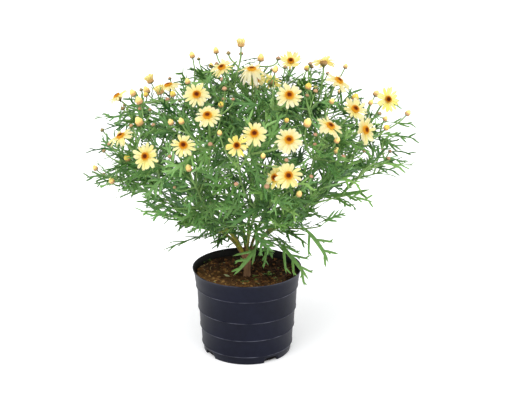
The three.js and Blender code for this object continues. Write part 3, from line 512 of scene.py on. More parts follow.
def underside_edge(place):
    """Height of the edge that the finer leaves keep above."""
    return np.interp(place[0], EDGE_ACROSS, EDGE_HEIGHTS) - EDGE_TILT * place[1]


def above_underside(tip, lift=0.0, fine=False):
    """The tip, raised over the cone that the crown's underside follows where it is lower."""
    least = UNDERSIDE_HEIGHT + UNDERSIDE_SLOPE * math.hypot(tip[0], tip[1]) + lift
    if fine:
        least = max(least, underside_edge(tip) + 0.25 * lift)
    return np.array([tip[0], tip[1], max(tip[2], least)])


def corners(curve):
    """The corners between the straight pieces that the solids build a limb of."""
    steps = LIMB_STEPS[curve["kind"]]
    places = [on_curve(curve["points"], curve["end"] * i / steps) for i in range(steps + 1)]
    if curve["parent"] is not None:
        places[0] = on_curve(curve["parent"]["points"], curve["at"])
    return places


def leaf_places(curve, setting):
    """Leaves on one curve, out of the flat sides of its solid: two turns to every five leaves."""
    spacing, start, stop, long, short = setting
    length = np.linalg.norm(curve["points"][3] - curve["points"][0])
    count = max(math.floor(length * (stop - start) / spacing + 0.5), 0)
    steps = LIMB_STEPS[curve["kind"]]
    frames = frames_along(corners(curve))
    places = []
    for i in range(count):
        t = start + (stop - start) * (i + 0.5) / count
        across, other = frames[min(math.floor(t / curve["end"] * steps), steps - 1)]
        side = turned(across, other, 2 * math.pi * (curve["flat"] + 0.5 + 2 * i) / LIMB_SIDES)
        lean = unit(np.cross(across, other) * LEAF_LEAN + side)
        root = on_curve(curve["points"], t)
        reach = long + (short - long) * i / max(count - 1, 1)
        places.append((root, above_underside(root + lean * reach)))
    return places


def fine_leaf_places(curve, setting, draw):
    """Leaves between those, in a spiral round the limb."""
    spacing, start, stop, long, short = setting
    length = np.linalg.norm(curve["points"][3] - curve["points"][0])
    count = max(round(length * (stop - start) / spacing), 1)
    places = []
    for i in range(count):
        t = start + (stop - start) * (i + draw.random()) / count
        root = on_curve(curve["points"], t)
        along = along_curve(curve["points"], t)
        turn = curve["flat"] * LIMB_TURN + i * GOLDEN_TURN
        turn += draw.uniform(-LEAF_TURN_SLACK, LEAF_TURN_SLACK)
        side = turned(*square_pair(along), turn)
        outward = np.array([root[0], root[1], 0.0]) / OUTWARD_OVER
        reach = (long + (short - long) * i / max(count - 1, 1)) * draw.uniform(*FINE_REACH)
        if draw.random() < HANGING_SHARE:
            lean = unit(along * 0.2 + side + outward * 2 - UP * 0.7)
            fade = HANGING_FADE - math.hypot(root[0], root[1]) / HANGING_REACH * HANGING_FADE
            lift = draw.uniform(-HANGING_DEPTH, 0) * clamped(fade)
        else:
            lean = unit(along * draw.uniform(*FINE_LEAN) + side + outward)
            lift = draw.uniform(0, UNDERSIDE_RAGGED)
        places.append((root, above_underside(root + lean * reach, lift, True)))
    return places


class Growth:
    """Corners, faces and marks of a mesh while it is being made."""

    def __init__(self, *marks):
        self.corners = []
        self.faces = []
        self.finish = []
        self.smooth = []
        self.marks = {mark: [] for mark in marks}

    def add(self, places, faces, finish=0, smooth=True, **marks):
        first = len(self.corners)
        self.corners.extend(places)
        self.faces.extend([tuple(first + i for i in face) for face in faces])
        self.finish.extend([finish] * len(faces))
        self.smooth.extend([smooth] * len(faces))
        for mark, values in self.marks.items():
            given = marks.get(mark, 0.0)
            values.extend(given if hasattr(given, "__len__") else [given] * len(places))

    def piece(self, name, finishes):
        """The finished mesh as a piece that rides with the object."""
        mesh = bpy.data.meshes.new(name)
        places = (np.array(self.corners, float) * MM).tolist()
        mesh.from_pydata(places, [], self.faces)
        for mark, values in self.marks.items():
            layer = mesh.attributes.new(mark, "FLOAT", "POINT")
            layer.data.foreach_set("value", values)
        for finish in finishes:
            mesh.materials.append(finish)
        mesh.polygons.foreach_set("material_index", self.finish)
        mesh.polygons.foreach_set("use_smooth", self.smooth)
        mesh.update()
        return ridden(name, mesh)


def placed(name, data):
    """A new object in the scene."""
    thing = bpy.data.objects.new(name, data)
    bpy.context.scene.collection.objects.link(thing)
    return thing


def ridden(name, mesh):
    piece = placed(name, mesh)
    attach(piece, "root")
    return piece


def ring_faces(sides, rings):
    """Faces between neighbouring rings of corners."""
    faces = []
    for i in range(rings - 1):
        for j in range(sides):
            a = i * sides + j
            b = i * sides + (j + 1) % sides
            faces.append((a, b, b + sides, a + sides))
    return faces


def tube_faces(sides, rings):
    """The same, closed at both ends."""
    last = (rings - 1) * sides
    ends = [tuple(range(sides - 1, -1, -1)), tuple(range(last, last + sides))]
    return ring_faces(sides, rings) + ends


def blade_faces(sections):
    """Faces between neighbouring sections of three corners."""
    faces = []
    for a in range(0, 3 * sections - 3, 3):
        faces.extend(((a, a + 1, a + 4, a + 3), (a + 1, a + 2, a + 5, a + 4), (a + 2, a, a + 3, a + 5)))
    return faces


def add_tube(growth, centres, radii, sides, **marks):
    """A round limb along centre points, closed at both ends."""
    places = []
    for centre, radius, (across, other) in zip(centres, radii, frames_along(centres)):
        places.extend(centre + turned(across, other, turn) * radius for turn in turns(sides))
    for mark, values in marks.items():
        if hasattr(values, "__len__"):
            marks[mark] = np.repeat(values, sides).tolist()
    growth.add(places, tube_faces(sides, len(centres)), **marks)


# Leaf: widths and thickness in millimetres, the rest as shares of its length.
LEAF_THICK = 0.6
LEAF_ARCH = 0.09
LEAF_ARCHES = (0.4, 1.3)
LEAF_BEND = 0.07
LEAF_OUTWARD = 1.2
LEAF_ROLL = 0.3
FINE_LEAF_ROLL = 0.4
ROLL_OF_RADIAL = 0.75
HUNG_TONE = 0.62
HUNG_COOL = 0.15
# Tone of the others: how much is by chance, and how it rises from this depth in the crown outwards. The
# rise is painted shade: leaves deep inside the crown are painted darker.
CHANCE_TONE = 0.75
PAINTED_DEPTH_SHADE = 0.6
SHADE_DEPTH_FROM = 0.45
RIB_SHARE = 0.041
RIB_LEAST = 1.0
RIB_MOST = 2.4
RIB_STATIONS = (0.0, 0.14, 0.28, 0.42, 0.58, 0.74, 0.9, 1.0)
RIB_WIDTHS = (0.33, 0.37, 0.56, 0.94, 1.0, 0.9, 0.6)
# Leaves shorter than this have two pairs of lobes, the others three.
SHORT_LEAF = 36
FIRST_LOBE = 0.33
LOBE_SPAN = 0.45
LOBE_STAGGER = 0.16
LOBE_SHARES = (0.34, 0.31, 0.22)
LOBE_STRETCH = (0.72, 1.2)
LOBE_MISSING = 0.12
LOBE_LEAN = (28, 50)
LOBE_CURVE = 0.14
LOBE_DROOP = (-0.2, 0.14)
LOBE_THICK = 0.9
LOBE_REACH = 0.3
LOBE_HALF = 1.55
LOBE_HALF_SHARE = 0.115
LOBE_STATIONS = (0.0, 0.34, 0.78, 1.0)
LOBE_WIDTHS = (0.95, 1.0, 0.8)
TOOTH_SHARE = 0.34
TOOTH_STRETCH = (0.7, 1.15)
TOOTH_FROM = 12.5
TOOTH_MISSING = 0.5
TOOTH_SLIM = 0.8
TOOTH_SPREAD = 40
TOOTH_STATIONS = (0.0, 0.6, 1.0)
TOOTH_WIDTHS = (0.9, 0.7)


def add_strip(growth, path, halves, outs, above, thick, look, reach):
    """A thin pointed blade, ridged along the middle, whose last point is its tip."""
    places = []
    ribs = []
    steps = []
    sections = len(path) - 1
    for i in range(sections):
        side = outs[i] * halves[i]
        places.extend((path[i] - side, path[i] + above * thick, path[i] + side))
        ribs.extend((0.0, 1.0, 0.0))
        steps.extend([reach[i]] * 3)
    places.append(path[-1])
    ribs.append(0.3)
    steps.append(reach[-1])
    tip = 3 * sections
    a = tip - 3
    ends = [(a, a + 1, tip), (a + 1, a + 2, tip), (a + 2, a, tip)]
    faces = [(0, 2, 1)] + blade_faces(sections) + ends
    growth.add(places, faces, BLADE, False, tone=look[0], cool=look[1], rib=ribs, reach=steps)


def add_leaf(growth, root, tip, roll, draw):
    """One finely cut leaf: a ribbed blade with pairs of narrow lobes, some of them toothed."""
    chord = tip - root
    length = np.linalg.norm(chord)
    level = chord / length
    outward = unit(np.array([root[0], root[1], 0.01]))
    radial = abs(level.dot(outward))
    side = np.cross(level, UP + outward * LEAF_OUTWARD * (1 - radial))
    if np.linalg.norm(side) < 0.2:
        side = np.array([1.0, 0.0, 0.0]) - level * level[0]
    side = unit(side)
    above = unit(np.cross(side, level))
    turn = roll
    if turn is None:
        most = FINE_LEAF_ROLL + ROLL_OF_RADIAL * radial
        turn = draw.choice((-1, 1)) * draw.uniform(0.35, 1) * most
    side, above = turned(side, above, turn), turned(above, -side, turn)
    bend = draw.uniform(-LEAF_BEND, LEAF_BEND) * length
    arch = LEAF_ARCH * length * draw.uniform(*LEAF_ARCHES)
    # Painted shade: the deeper a leaf's tip lies in the crown, the darker its tone.
    depth = min(np.linalg.norm((tip - CROWN_CENTRE) / CROWN_RADII), 1.0)
    tone = clamped(CHANCE_TONE * draw.random() + PAINTED_DEPTH_SHADE * (depth - SHADE_DEPTH_FROM))
    look = (tone, draw.random()) if roll is None else (HUNG_TONE + 0.2 * draw.random(), HUNG_COOL)

    def middle(at):
        hump = 4 * at * (1 - at)
        return root + chord * at + above * arch * hump + side * bend * hump

    rib = [middle(at) for at in RIB_STATIONS]
    half = min(max(RIB_SHARE * length, RIB_LEAST), RIB_MOST)
    widths = [half * width for width in RIB_WIDTHS]
    add_strip(growth, rib, widths, [side] * len(rib), above, LEAF_THICK, look, RIB_STATIONS)
    pairs = 2 if length < SHORT_LEAF else 3
    for k in range(pairs):
        for hand in (1, -1):
            station = FIRST_LOBE + LOBE_SPAN * (k + LOBE_STAGGER * hand) / (pairs - 1)
            lobe = length * LOBE_SHARES[k] * draw.uniform(*LOBE_STRETCH)
            if draw.random() < LOBE_MISSING:
                continue
            add_lobe(growth, middle(station), level, side * hand, above, lobe, look, station, draw)


def add_lobe(growth, foot, level, out, above, long, look, station, draw):
    heading = turned(level, out, math.radians(draw.uniform(*LOBE_LEAN)))
    droop = above * draw.uniform(*LOBE_DROOP) * long
    path = [foot + heading * long * at + (level * long * LOBE_CURVE + droop) * at * at
            for at in LOBE_STATIONS]
    across = unit(np.cross(above, heading))
    half = min(LOBE_HALF, long * LOBE_HALF_SHARE)
    widths = [half * width for width in LOBE_WIDTHS]
    reach = [station + LOBE_REACH * at for at in LOBE_STATIONS]
    add_strip(growth, path, widths, [across] * len(path), above, LEAF_THICK * LOBE_THICK, look, reach)
    if long < TOOTH_FROM:
        return
    for at, hand in ((1, 1), (2, -1)):
        if draw.random() < TOOTH_MISSING:
            continue
        tooth = long * TOOTH_SHARE * draw.uniform(*TOOTH_STRETCH)
        aim = unit(turned(heading, -across, math.radians(TOOTH_SPREAD) * hand))
        spine = [path[at] + aim * tooth * share for share in TOOTH_STATIONS]
        beside = [unit(np.cross(above, aim))] * len(spine)
        widths = [half * TOOTH_SLIM * width for width in TOOTH_WIDTHS]
        marks = [reach[at]] * len(spine)
        add_strip(growth, spine, widths, beside, above, LEAF_THICK * TOOTH_SLIM, look, marks)


# How far the point of a scale runs on to each side.
SCALE_POINTED = 0.55


def add_turned(growth, foot, axis, profile, sides, scales, finish, tone):
    """A body turned round an axis, with rows of overlapping scales raised on its skin."""
    across, other = square_pair(axis)
    places = []
    reach = []
    edge = []
    rows, columns, relief = scales
    for i, (radius, high) in enumerate(profile):
        share = i / (len(profile) - 1)
        row = share * rows
        shift = 0.5 if int(row) % 2 else 0.0
        for turn in turns(sides):
            column = abs(((turn / (2 * math.pi)) * columns + shift) % 1.0 - 0.5) * 2
            scale = max(0.0, (row % 1.0) - column * SCALE_POINTED)
            wide = radius + relief * scale
            places.append(foot + axis * high + turned(across, other, turn) * wide)
            reach.append(share)
            edge.append(scale)
    faces = tube_faces(sides, len(profile))
    growth.add(places, faces, finish, True, tone=tone, rib=edge, reach=reach)


CUP_PROFILE = (
    (0.95, -8.0), (1.05, -6.8), (1.7, -5.8), (2.9, -5.0), (3.7, -4.0), (4.2, -3.0), (4.5, -2.0),
    (4.6, -1.2), (4.3, -0.7), (3.4, -0.5),
)
# A bud's bracts, and the cone of folded rays on them, as shares of its half width.
BRACTS_PROFILE = (
    (0.2, -0.7), (0.54, -0.6), (0.84, -0.42), (0.98, -0.18), (1.0, 0.02), (0.95, 0.22),
    (0.85, 0.42), (0.7, 0.6), (0.52, 0.76), (0.34, 0.9), (0.17, 1.02), (0.05, 1.1),
)
CONE_PROFILE = (
    (0.8, 0.0), (0.92, 0.2), (0.92, 0.4), (0.83, 0.64), (0.67, 0.88), (0.48, 1.1), (0.28, 1.28),
    (0.08, 1.38),
)
# Sides of each turned body, with the rows, columns and height of its scales. In a bud the height is
# a share of its half width.
CUP_SIDES = 20
CUP_SCALES = (3, 11, 0.28)
BRACT_SIDES = 14
BRACT_SCALES = (5, 7, 0.1)
CONE_SIDES = 16
CONE_SCALES = (2, 7, 0.22)
CORE_SIDES = 12
CORE_SCALES = (1, 8, 0.1)
CORE_STRETCH = (0.8, 0.9)
CUP_TONE = 0.6
OPEN_FROM = 0.78
PLUMP_FROM = 0.45
BRIGHT_UP_TO = 0.92
# How high the bracts reach on a bud that opens, on a plump one and on a small one.
BRACTS_UP_TO = (0.25, 0.5, 2.0)
# Stretch of a cone where a bud is just plump, and how it grows.
CONE_STRETCH = 1.1
# Rings of rays in an opening bud: radius, height and number. Then each ray's slack and thickness.
TUFT_RINGS = ((0.9, 1.6, 12), (0.62, 1.8, 9), (0.32, 1.85, 5))
TUFT_TURN = 0.12
TUFT_SPREAD = (0.8, 1.2)
TUFT_RISE = (0.86, 1.1)
YOUNG_RAY_THICK = 0.1
YOUNG_RAY_WIDTHS = (0.2, 0.31, 0.34, 0.2)


def add_scaled(growth, head, axis, half, profile, stretch, sides, scales, finish, tone):
    """A turned body whose measures are shares of the bud's half width, stretched out and up."""
    rows, columns, relief = scales
    profile = [(radius * half * stretch[0], high * half * stretch[1]) for radius, high in profile]
    add_turned(growth, head, axis, profile, sides, (rows, columns, relief * half), finish, tone)


def add_bud(growth, curve, draw):
    """A bud of overlapping bracts. A plump one has a cone of folded rays and a ripe one a tuft."""
    _, _, wide, ripe = curve["item"]
    head = curve["points"][3]
    axis = along_curve(curve["points"], 1)
    half = wide / 2
    plump = ripe > PLUMP_FROM
    top = BRACTS_UP_TO[0 if ripe > OPEN_FROM else 1 if plump else 2]
    bracts = [(radius, high) for radius, high in BRACTS_PROFILE if high <= top]
    tone = min(ripe, OPEN_FROM - 0.1)
    add_scaled(growth, head, axis, half, bracts, (1, 1), BRACT_SIDES, BRACT_SCALES, SCALE, tone)
    if ripe > OPEN_FROM:
        add_tuft(growth, head, axis, half, ripe, draw)
    elif plump:
        stretch = (1, CONE_STRETCH + CONE_STRETCH * (ripe - PLUMP_FROM))
        blush = 1.0 + draw.random() * (1.6 - 2 * ripe)
        add_scaled(growth, head, axis, half, CONE_PROFILE, stretch, CONE_SIDES, CONE_SCALES, YOUNG_RAY,
                   blush)


def add_tuft(growth, head, axis, half, ripe, draw):
    """Rings of young rays: folded over the middle in a bright bud, and flared in an open one."""
    across, other = square_pair(axis)
    flare = max(ripe - BRIGHT_UP_TO, 0.0) / (1 - BRIGHT_UP_TO)
    add_scaled(growth, head, axis, half, CONE_PROFILE, CORE_STRETCH, CORE_SIDES, CORE_SCALES,
               YOUNG_RAY, ripe)
    for ring, (share, high, count) in enumerate(TUFT_RINGS):
        for j in range(count):
            turn = 2 * math.pi * (j + 0.5 * ring) / count + draw.uniform(-TUFT_TURN, TUFT_TURN)
            out = turned(across, other, turn)
            spread = share * (0.5 + 1.3 * flare) * draw.uniform(*TUFT_SPREAD)
            rise = high * (0.74 + 0.3 * flare) * draw.uniform(*TUFT_RISE)
            belly = share * (1.04 + 0.04 * flare)
            bends = ((share * 0.85, 0.1), (belly, rise * 0.42), ((belly + spread) * 0.52, rise * 0.8),
                     (spread, rise))
            path = [head + (out * wide + axis * tall) * half for wide, tall in bends]
            add_young_ray(growth, path, np.cross(axis, out), out, half, ripe)


def add_young_ray(growth, path, beside, out, half, ripe):
    places = []
    for place, width in zip(path, YOUNG_RAY_WIDTHS):
        side = beside * half * width
        places.extend((place - side, place + out * YOUNG_RAY_THICK * half, place + side))
    last = 3 * len(path) - 3
    faces = [(0, 2, 1), (last, last + 1, last + 2)] + blade_faces(len(path))
    ribs = [0, 1, 0] * len(path)
    reach = [i / (len(path) - 1) for i in range(len(path)) for _ in range(3)]
    growth.add(places, faces, YOUNG_RAY, True, tone=ripe, rib=ribs, reach=reach)


# Height up to which limbs are brown, and how much higher they are all green.
WOOD_UP_TO = 128.0
GREEN_OVER = 55.0


def woodiness(place):
    """How green a limb is at a place, from 0, brown at the crown, to 1."""
    return clamped((place[2] - WOOD_UP_TO) / GREEN_OVER)


# How yellow the skin of each stem is low down.
STEM_YELLOWS = (0.1, 0.2, 1.0, 0.35, 0.1, 0.5, 0.3, 0.45, 0.0)
LIMB_THICK = {"stem": (2.0, 1.15), "bloom": (1.35, 1.0), "twig": (1.15, 0.75), "bud": (1.05, 0.78)}
TUBE_STEPS = {"stem": 22, "bloom": 16, "twig": 9, "bud": 9}
TUBE_SIDES = {"stem": 10, "bloom": 8, "twig": 7, "bud": 6}
# How far a stem starts inside its fork, and how far short of a bud's place its stalk ends.
STEM_SUNK = 3.5
BUD_SHORT = 0.28


def add_limb(growth, curve, yellow, draw):
    kind = curve["kind"]
    points = curve["points"]
    steps = TUBE_STEPS[kind]
    stop = curve["end"]
    if kind == "bud":
        stop = 1 - curve["item"][2] * BUD_SHORT / np.linalg.norm(points[3] - points[0])
    centres = [on_curve(points, stop * i / steps) for i in range(steps + 1)]
    if kind == "stem":
        lead = unit(centres[1] - centres[0])
        centres.insert(0, centres[0] - lead * STEM_SUNK)
    thick, thin = LIMB_THICK[kind]
    last = len(centres) - 1
    radii = [thick + (thin - thick) * i / last for i in range(last + 1)]
    greens = [woodiness(place) for place in centres]
    yellows = [yellow * (1 - green) for green in greens]
    add_tube(growth, centres, radii, TUBE_SIDES[kind], finish=SKIN, tone=greens, rib=yellows)
    if kind == "bloom":
        axis = along_curve(points, 1)
        add_turned(growth, points[3], axis, CUP_PROFILE, CUP_SIDES, CUP_SCALES, SCALE, CUP_TONE)
    if kind == "bud":
        add_bud(growth, curve, draw)


# Leaves stay out of this depth under and over a bloom, at these shares of their length. They also
# stay inside this margin round the solids, in metres, and over this height.
FACE_DEEP = (-3, 16)
LEAF_SHARES = (0.35, 0.6, 0.8, 1.0)
SOLIDS_MARGIN = 0.004
LOWEST_TIP = 108


def clear_of_blooms(root, tip):
    """Whether a leaf keeps off every bloom's face."""
    for share in LEAF_SHARES:
        high, wide = from_blooms(root + (tip - root) * share)
        if ((high > FACE_DEEP[0]) & (high < FACE_DEEP[1]) & (wide < BLOOM_REACH)).any():
            return False
    return True


def within_crown(tip):
    """Whether a leaf tip stays inside the reach of the solids."""
    low, high = solids_box
    place = tip * MM
    inside = all(low[i] - SOLIDS_MARGIN < place[i] < high[i] + SOLIDS_MARGIN for i in range(3))
    return inside and tip[2] > LOWEST_TIP


def in_fine_reach(root, tip):
    """Whether a finer leaf stays inside the crown's top and edge, and out of the open places."""
    if tip[2] > CROWN_CENTRE[2] and np.linalg.norm((tip - CROWN_CENTRE) / TOP_RADII) > 1:
        return False
    if root[2] < underside_edge(root) - EDGE_SLACK:
        return False
    ends = np.array([root, (root + tip) / 2, tip])
    gaps = np.linalg.norm(ends[:, None] - OPEN_PLACES[None], axis=2)
    return gaps.min() > OPEN_RADIUS


def leafy_stem(number, curves, finishes):
    growth = Growth("tone", "rib", "reach", "cool")
    draw = random.Random(STEM_SEED + number)
    for curve in curves:
        add_limb(growth, curve, STEM_YELLOWS[number], draw)
    leaves = []
    for bearer, along, tip, roll in SKIRT_LEAVES + FOOT_LEAVES:
        if bearer == number:
            root = on_curve(curves[0]["points"], along)
            leaves.append((root, np.array(tip, float), math.radians(roll)))
    for curve in curves:
        if curve["kind"] == "twig":
            end = curve["points"][3]
            reach = unit(np.array([end[0], end[1], TIP_LEAF_RISE]))
            leaves.append((end, above_underside(end + reach * TIP_LEAF_LONG), None))
    for curve in curves:
        if not curve["fine"]:
            for root, tip in leaf_places(curve, LEAF_SETTING[curve["kind"]]):
                leaves.append((root, tip, draw.uniform(-LEAF_ROLL, LEAF_ROLL)))
        for root, tip in fine_leaf_places(curve, FINE_LEAF_SETTING[curve["kind"]], draw):
            if in_fine_reach(root, tip):
                leaves.append((root, tip, None))
    for root, tip, roll in leaves:
        if clear_of_blooms(root, tip) and within_crown(tip):
            add_leaf(growth, root, tip, roll, draw)
    piece = growth.piece(f"stem_{number + 1}_growth", finishes)
    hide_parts(f"leafy_stem_{number + 1}")


# Ray florets: stations along a ray, and widths as shares of its widest.
RAY_FOOT = 3.4
RAY_STATIONS = (0.0, 0.12, 0.28, 0.46, 0.64, 0.8, 0.91, 0.97, 1.0)
RAY_WIDTHS = (0.5, 0.62, 0.8, 0.94, 1.0, 0.96, 0.84, 0.66, 0.46)
RAY_ACROSS = 7
RAY_HALF = 2.2
RAY_THICK = 0.28
GROOVE_DEEP = 0.28
RAY_SAG = 1.9
TIP_NOTCH = 0.95
# How far each ray may differ from the others.
TURN_SLACK = 0.17
REACH_SLACK = (0.87, 1.07)
LIFT_SLACK = 2.0
WIDTH_SLACK = (0.74, 1.12)
TWIST_SLACK = 0.6
HANG_SLACK = (-1.5, 1.1)
LAYER_STEP = 0.4
# From where on a ray the notches start, and the rise.
NOTCH_SHARE = 0.8
RISE_RADIUS = 6
BOW_SLACK = (-0.8, 0.1)
SWAY_SLACK = 1.8


def ray_florets(number, finish):
    """Ring of blunt rays round a disc, grooved along and notched at the tip."""
    _, place, aim, wide, rise = BLOOMS[number]
    draw = random.Random(RAY_SEED + number)
    centre = np.array(place, float)
    axis = facing(*aim)
    across, other = square_pair(axis)
    long = wide / 2
    count = RAY_COUNTS[number]
    lean_across, lean_back = RAY_LEANS.get(number, (0.0, 0.0))
    growth = Growth("reach", "tone", "rib", "young", "under")
    for i in range(count):
        turn = 2 * math.pi * (i + draw.uniform(-TURN_SLACK, TURN_SLACK)) / count
        out = turned(across, other, turn)
        lean = lean_across * out[0] + lean_back * out[1]
        add_ray(growth, {
            "centre": centre, "axis": axis, "out": out, "beside": np.cross(axis, out),
            "reach": long * draw.uniform(*REACH_SLACK),
            "lift": rise + lean + draw.uniform(-LIFT_SLACK, LIFT_SLACK),
            "half": RAY_HALF * long / 15 * draw.uniform(*WIDTH_SLACK),
            "layer": LAYER_STEP * (i % 2) - 0.1,
            "twist": draw.uniform(-TWIST_SLACK, TWIST_SLACK),
            "hang": draw.uniform(*HANG_SLACK),
            "bow": draw.uniform(*BOW_SLACK),
            "sway": draw.uniform(-SWAY_SLACK, SWAY_SLACK),
            "sag": RAY_SAG * draw.random() * (1 - 0.7 * abs(out[2])),
            "tone": draw.random(),
            "young": 1 - BLOOM_AGES[number],
        })
    piece = growth.piece(f"bloom_{number + 1}_ray_florets", [finish])
    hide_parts(f"bloom_{number + 1}_rays")


def add_ray(growth, ray):
    rows = len(RAY_STATIONS)
    upper = []
    marks = []
    ribs = []
    for share, width in zip(RAY_STATIONS, RAY_WIDTHS):
        for j in range(RAY_ACROSS):
            v = 2 * j / (RAY_ACROSS - 1) - 1
            notch = TIP_NOTCH * (0.5 - 0.5 * math.cos(3 * math.pi * v)) * max(share - NOTCH_SHARE, 0) * 5
            radius = RAY_FOOT + (ray["reach"] - RAY_FOOT) * share - notch
            groove = GROOVE_DEEP * math.cos(2 * math.pi * v) * min(share * 4, 1)
            high = ray["layer"] + groove + ray["bow"] * v * v + ray["hang"] * share * share
            risen = (radius - RISE_RADIUS) / (ray["reach"] - RISE_RADIUS)
            high += ray["lift"] * max(risen, 0) ** 1.5
            high += ray["twist"] * v * ray["half"] * share
            beside = v * ray["half"] * width + ray["sway"] * share * share
            place = ray["centre"] + ray["out"] * radius + ray["beside"] * beside + ray["axis"] * high
            upper.append(place - UP * ray["sag"] * share * share)
            marks.append(share)
            ribs.append(0.5 + 0.5 * math.cos(2 * math.pi * v))
    lower = [place - ray["axis"] * RAY_THICK for place in upper]
    size = len(upper)
    faces = []
    for i in range(rows - 1):
        for j in range(RAY_ACROSS - 1):
            a = i * RAY_ACROSS + j
            b = a + RAY_ACROSS
            faces.append((a, b, b + 1, a + 1))
            faces.append((size + a, size + a + 1, size + b + 1, size + b))
    rim = list(range(RAY_ACROSS))
    rim += [i * RAY_ACROSS + RAY_ACROSS - 1 for i in range(1, rows)]
    rim += [(rows - 1) * RAY_ACROSS + j for j in range(RAY_ACROSS - 2, -1, -1)]
    rim += [i * RAY_ACROSS for i in range(rows - 2, 0, -1)]
    for k, a in enumerate(rim):
        b = rim[(k + 1) % len(rim)]
        faces.append((a, b, size + b, size + a))
    # The undersides are marked so that the ray finish can paint a glow on them, painted light.
    growth.add(upper + lower, faces, reach=marks * 2, tone=ray["tone"], rib=ribs * 2,
               young=ray["young"], under=[0.0] * size + [1.0] * size)


# Disc: a dome of rings, as wide as its age asks, then florets in a spiral.
DOME_RADII = (3.2, 4.8)
DOME_HIGH = 2.5
DOME_OVER = 1.12
DOME_SHARE = 0.9
DOME_RINGS = 5
DOME_SIDES = 20
DOME_UNDER = -0.4
DISC_LIFT = 0.3
LIFT_OF_RISE = 0.12
DARK_RADIUS = 2.25
RIM_OF_DOME = 0.45
RIM_OF_FLORETS = 0.5
RIM_SLACK = 0.06
FLORETS = 120
FLORET_SIDES = 6
FLORET_EDGE = 0.97
FLORET_SUNK = 0.86
FLORET_FAN = 0.75
FLORET_STRETCH = (0.85, 1.15)
FLORET_WIDE = (0.3, 0.08)
# A shut floret and an open one: height, width of the mouth and height of its middle.
FLORET_HIGH = (0.7, 1.1)
MOUTH_WIDE = (0.45, 1.3)
MOUTH_MIDDLE = (1.08, 0.8)
MOUTH_STAR = 0.75


def disc_florets(number, finish):
    """Domed disc packed with small florets in a spiral, the outer ones open."""
    _, place, aim, _, rise = BLOOMS[number]
    axis = facing(*aim)
    across, other = square_pair(axis)
    centre = np.array(place, float) + axis * (DISC_LIFT + max(rise, 0) * LIFT_OF_RISE)
    spread = DOME_RADII[0] + (DOME_RADII[1] - DOME_RADII[0]) * BLOOM_AGES[number]
    dark_to = DARK_RADIUS / spread
    growth = Growth("rim", "crest")
    draw = random.Random(DISC_SEED + number)

    def dome(radius):
        return DOME_HIGH * (1 - (radius / (spread * DOME_OVER)) ** 2)

    places = [centre + axis * dome(0) * DOME_SHARE]
    for i in range(1, DOME_RINGS + 1):
        radius = spread * i / DOME_RINGS
        middle = centre + axis * (dome(radius) * DOME_SHARE if i < DOME_RINGS else DOME_UNDER)
        places.extend(middle + turned(across, other, turn) * radius for turn in turns(DOME_SIDES))
    faces = [(0, 1 + j, 1 + (j + 1) % DOME_SIDES) for j in range(DOME_SIDES)]
    faces.extend((1 + a, 1 + d, 1 + c, 1 + b) for a, b, c, d in ring_faces(DOME_SIDES, DOME_RINGS))
    last = DOME_RINGS * DOME_SIDES
    faces.append(tuple(range(last, last - DOME_SIDES, -1)))
    spans = [0.0] + [i / DOME_RINGS for i in range(1, DOME_RINGS + 1) for _ in range(DOME_SIDES)]
    growth.add(places, faces, rim=[RIM_OF_DOME + span - dark_to for span in spans], crest=0.0)
    for i in range(FLORETS):
        share = math.sqrt((i + 0.5) / FLORETS)
        radius = spread * share * FLORET_EDGE
        out = turned(across, other, i * GOLDEN_TURN)
        slope = unit(axis + out * FLORET_FAN * share)
        foot = centre + out * radius + axis * dome(radius) * FLORET_SUNK
        opened = share > dark_to + RIM_SLACK
        tall = FLORET_HIGH[opened] * draw.uniform(*FLORET_STRETCH)
        wide = (FLORET_WIDE[0] + FLORET_WIDE[1] * share) * spread / DOME_RADII[1]
        rim = RIM_OF_FLORETS + share - dark_to + draw.uniform(-RIM_SLACK, RIM_SLACK)
        add_floret(growth, foot, slope, tall, wide, opened, rim)
    piece = growth.piece(f"bloom_{number + 1}_disc_florets", [finish])
    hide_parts(f"bloom_{number + 1}_disc")


def add_floret(growth, foot, axis, tall, radius, opened, rim):
    """One floret: a tube with a pointed tip, or with a starred mouth where it is open."""
    across, other = square_pair(axis)
    places = []
    crest = []
    widths = ((1.0, 0.0, 0.0), (0.9, 0.6, 0.4), (MOUTH_WIDE[opened], 1.0, 1.0))
    for width, high, mark in widths:
        for j, turn in enumerate(turns(FLORET_SIDES)):
            star = 1.0 if not opened or j % 2 else MOUTH_STAR
            side = turned(across, other, turn) * radius * width * star
            places.append(foot + axis * tall * high + side)
            crest.append(mark)
    places.append(foot + axis * tall * MOUTH_MIDDLE[opened])
    crest.append(0.7)
    faces = ring_faces(FLORET_SIDES, len(widths))
    tip = len(widths) * FLORET_SIDES
    top = tip - FLORET_SIDES
    faces.extend((top + j, top + (j + 1) % FLORET_SIDES, tip) for j in range(FLORET_SIDES))
    growth.add(places, faces, 0, False, rim=rim, crest=crest)


# Pot: profile from the middle of the base, out and up the wall, over the lip and down inside.
POT_SEGMENTS = 144
POT_PROFILE = [
    (0, 0), (30, 0), (51.2, 0), (52.0, 0.2), (52.45, 0.9), (53.3, 8.9), (53.5, 9.4), (54.5, 9.7),
    (54.85, 10.1), (54.85, 10.5), (54.6, 10.9), (54.45, 11.6), (55.38, 30.7), (55.55, 31.2),
    (56.6, 31.5), (56.95, 31.9), (56.95, 32.3), (56.7, 32.7), (56.55, 33.4), (57.48, 53.6),
    (57.65, 54.1), (58.7, 54.4), (59.05, 54.8), (59.05, 55.2), (58.8, 55.6), (58.65, 56.3),
    (59.68, 81.1), (59.85, 81.6), (60.95, 81.9), (61.3, 82.3), (61.3, 82.7), (61.05, 83.1),
    (60.95, 83.9), (61.6, 88.0), (62.4, 94.0), (63.2, 99.0), (64.3, 102.6), (64.9, 103.5),
    (64.9, 103.9), (64.5, 104.0), (64.0, 103.7), (63.2, 102.2), (61.6, 98.0), (60.2, 91.0),
    (58.2, 81.5), (51.9, 8.0), (50.6, 2.2), (48.5, 1.6), (0, 1.6),
]
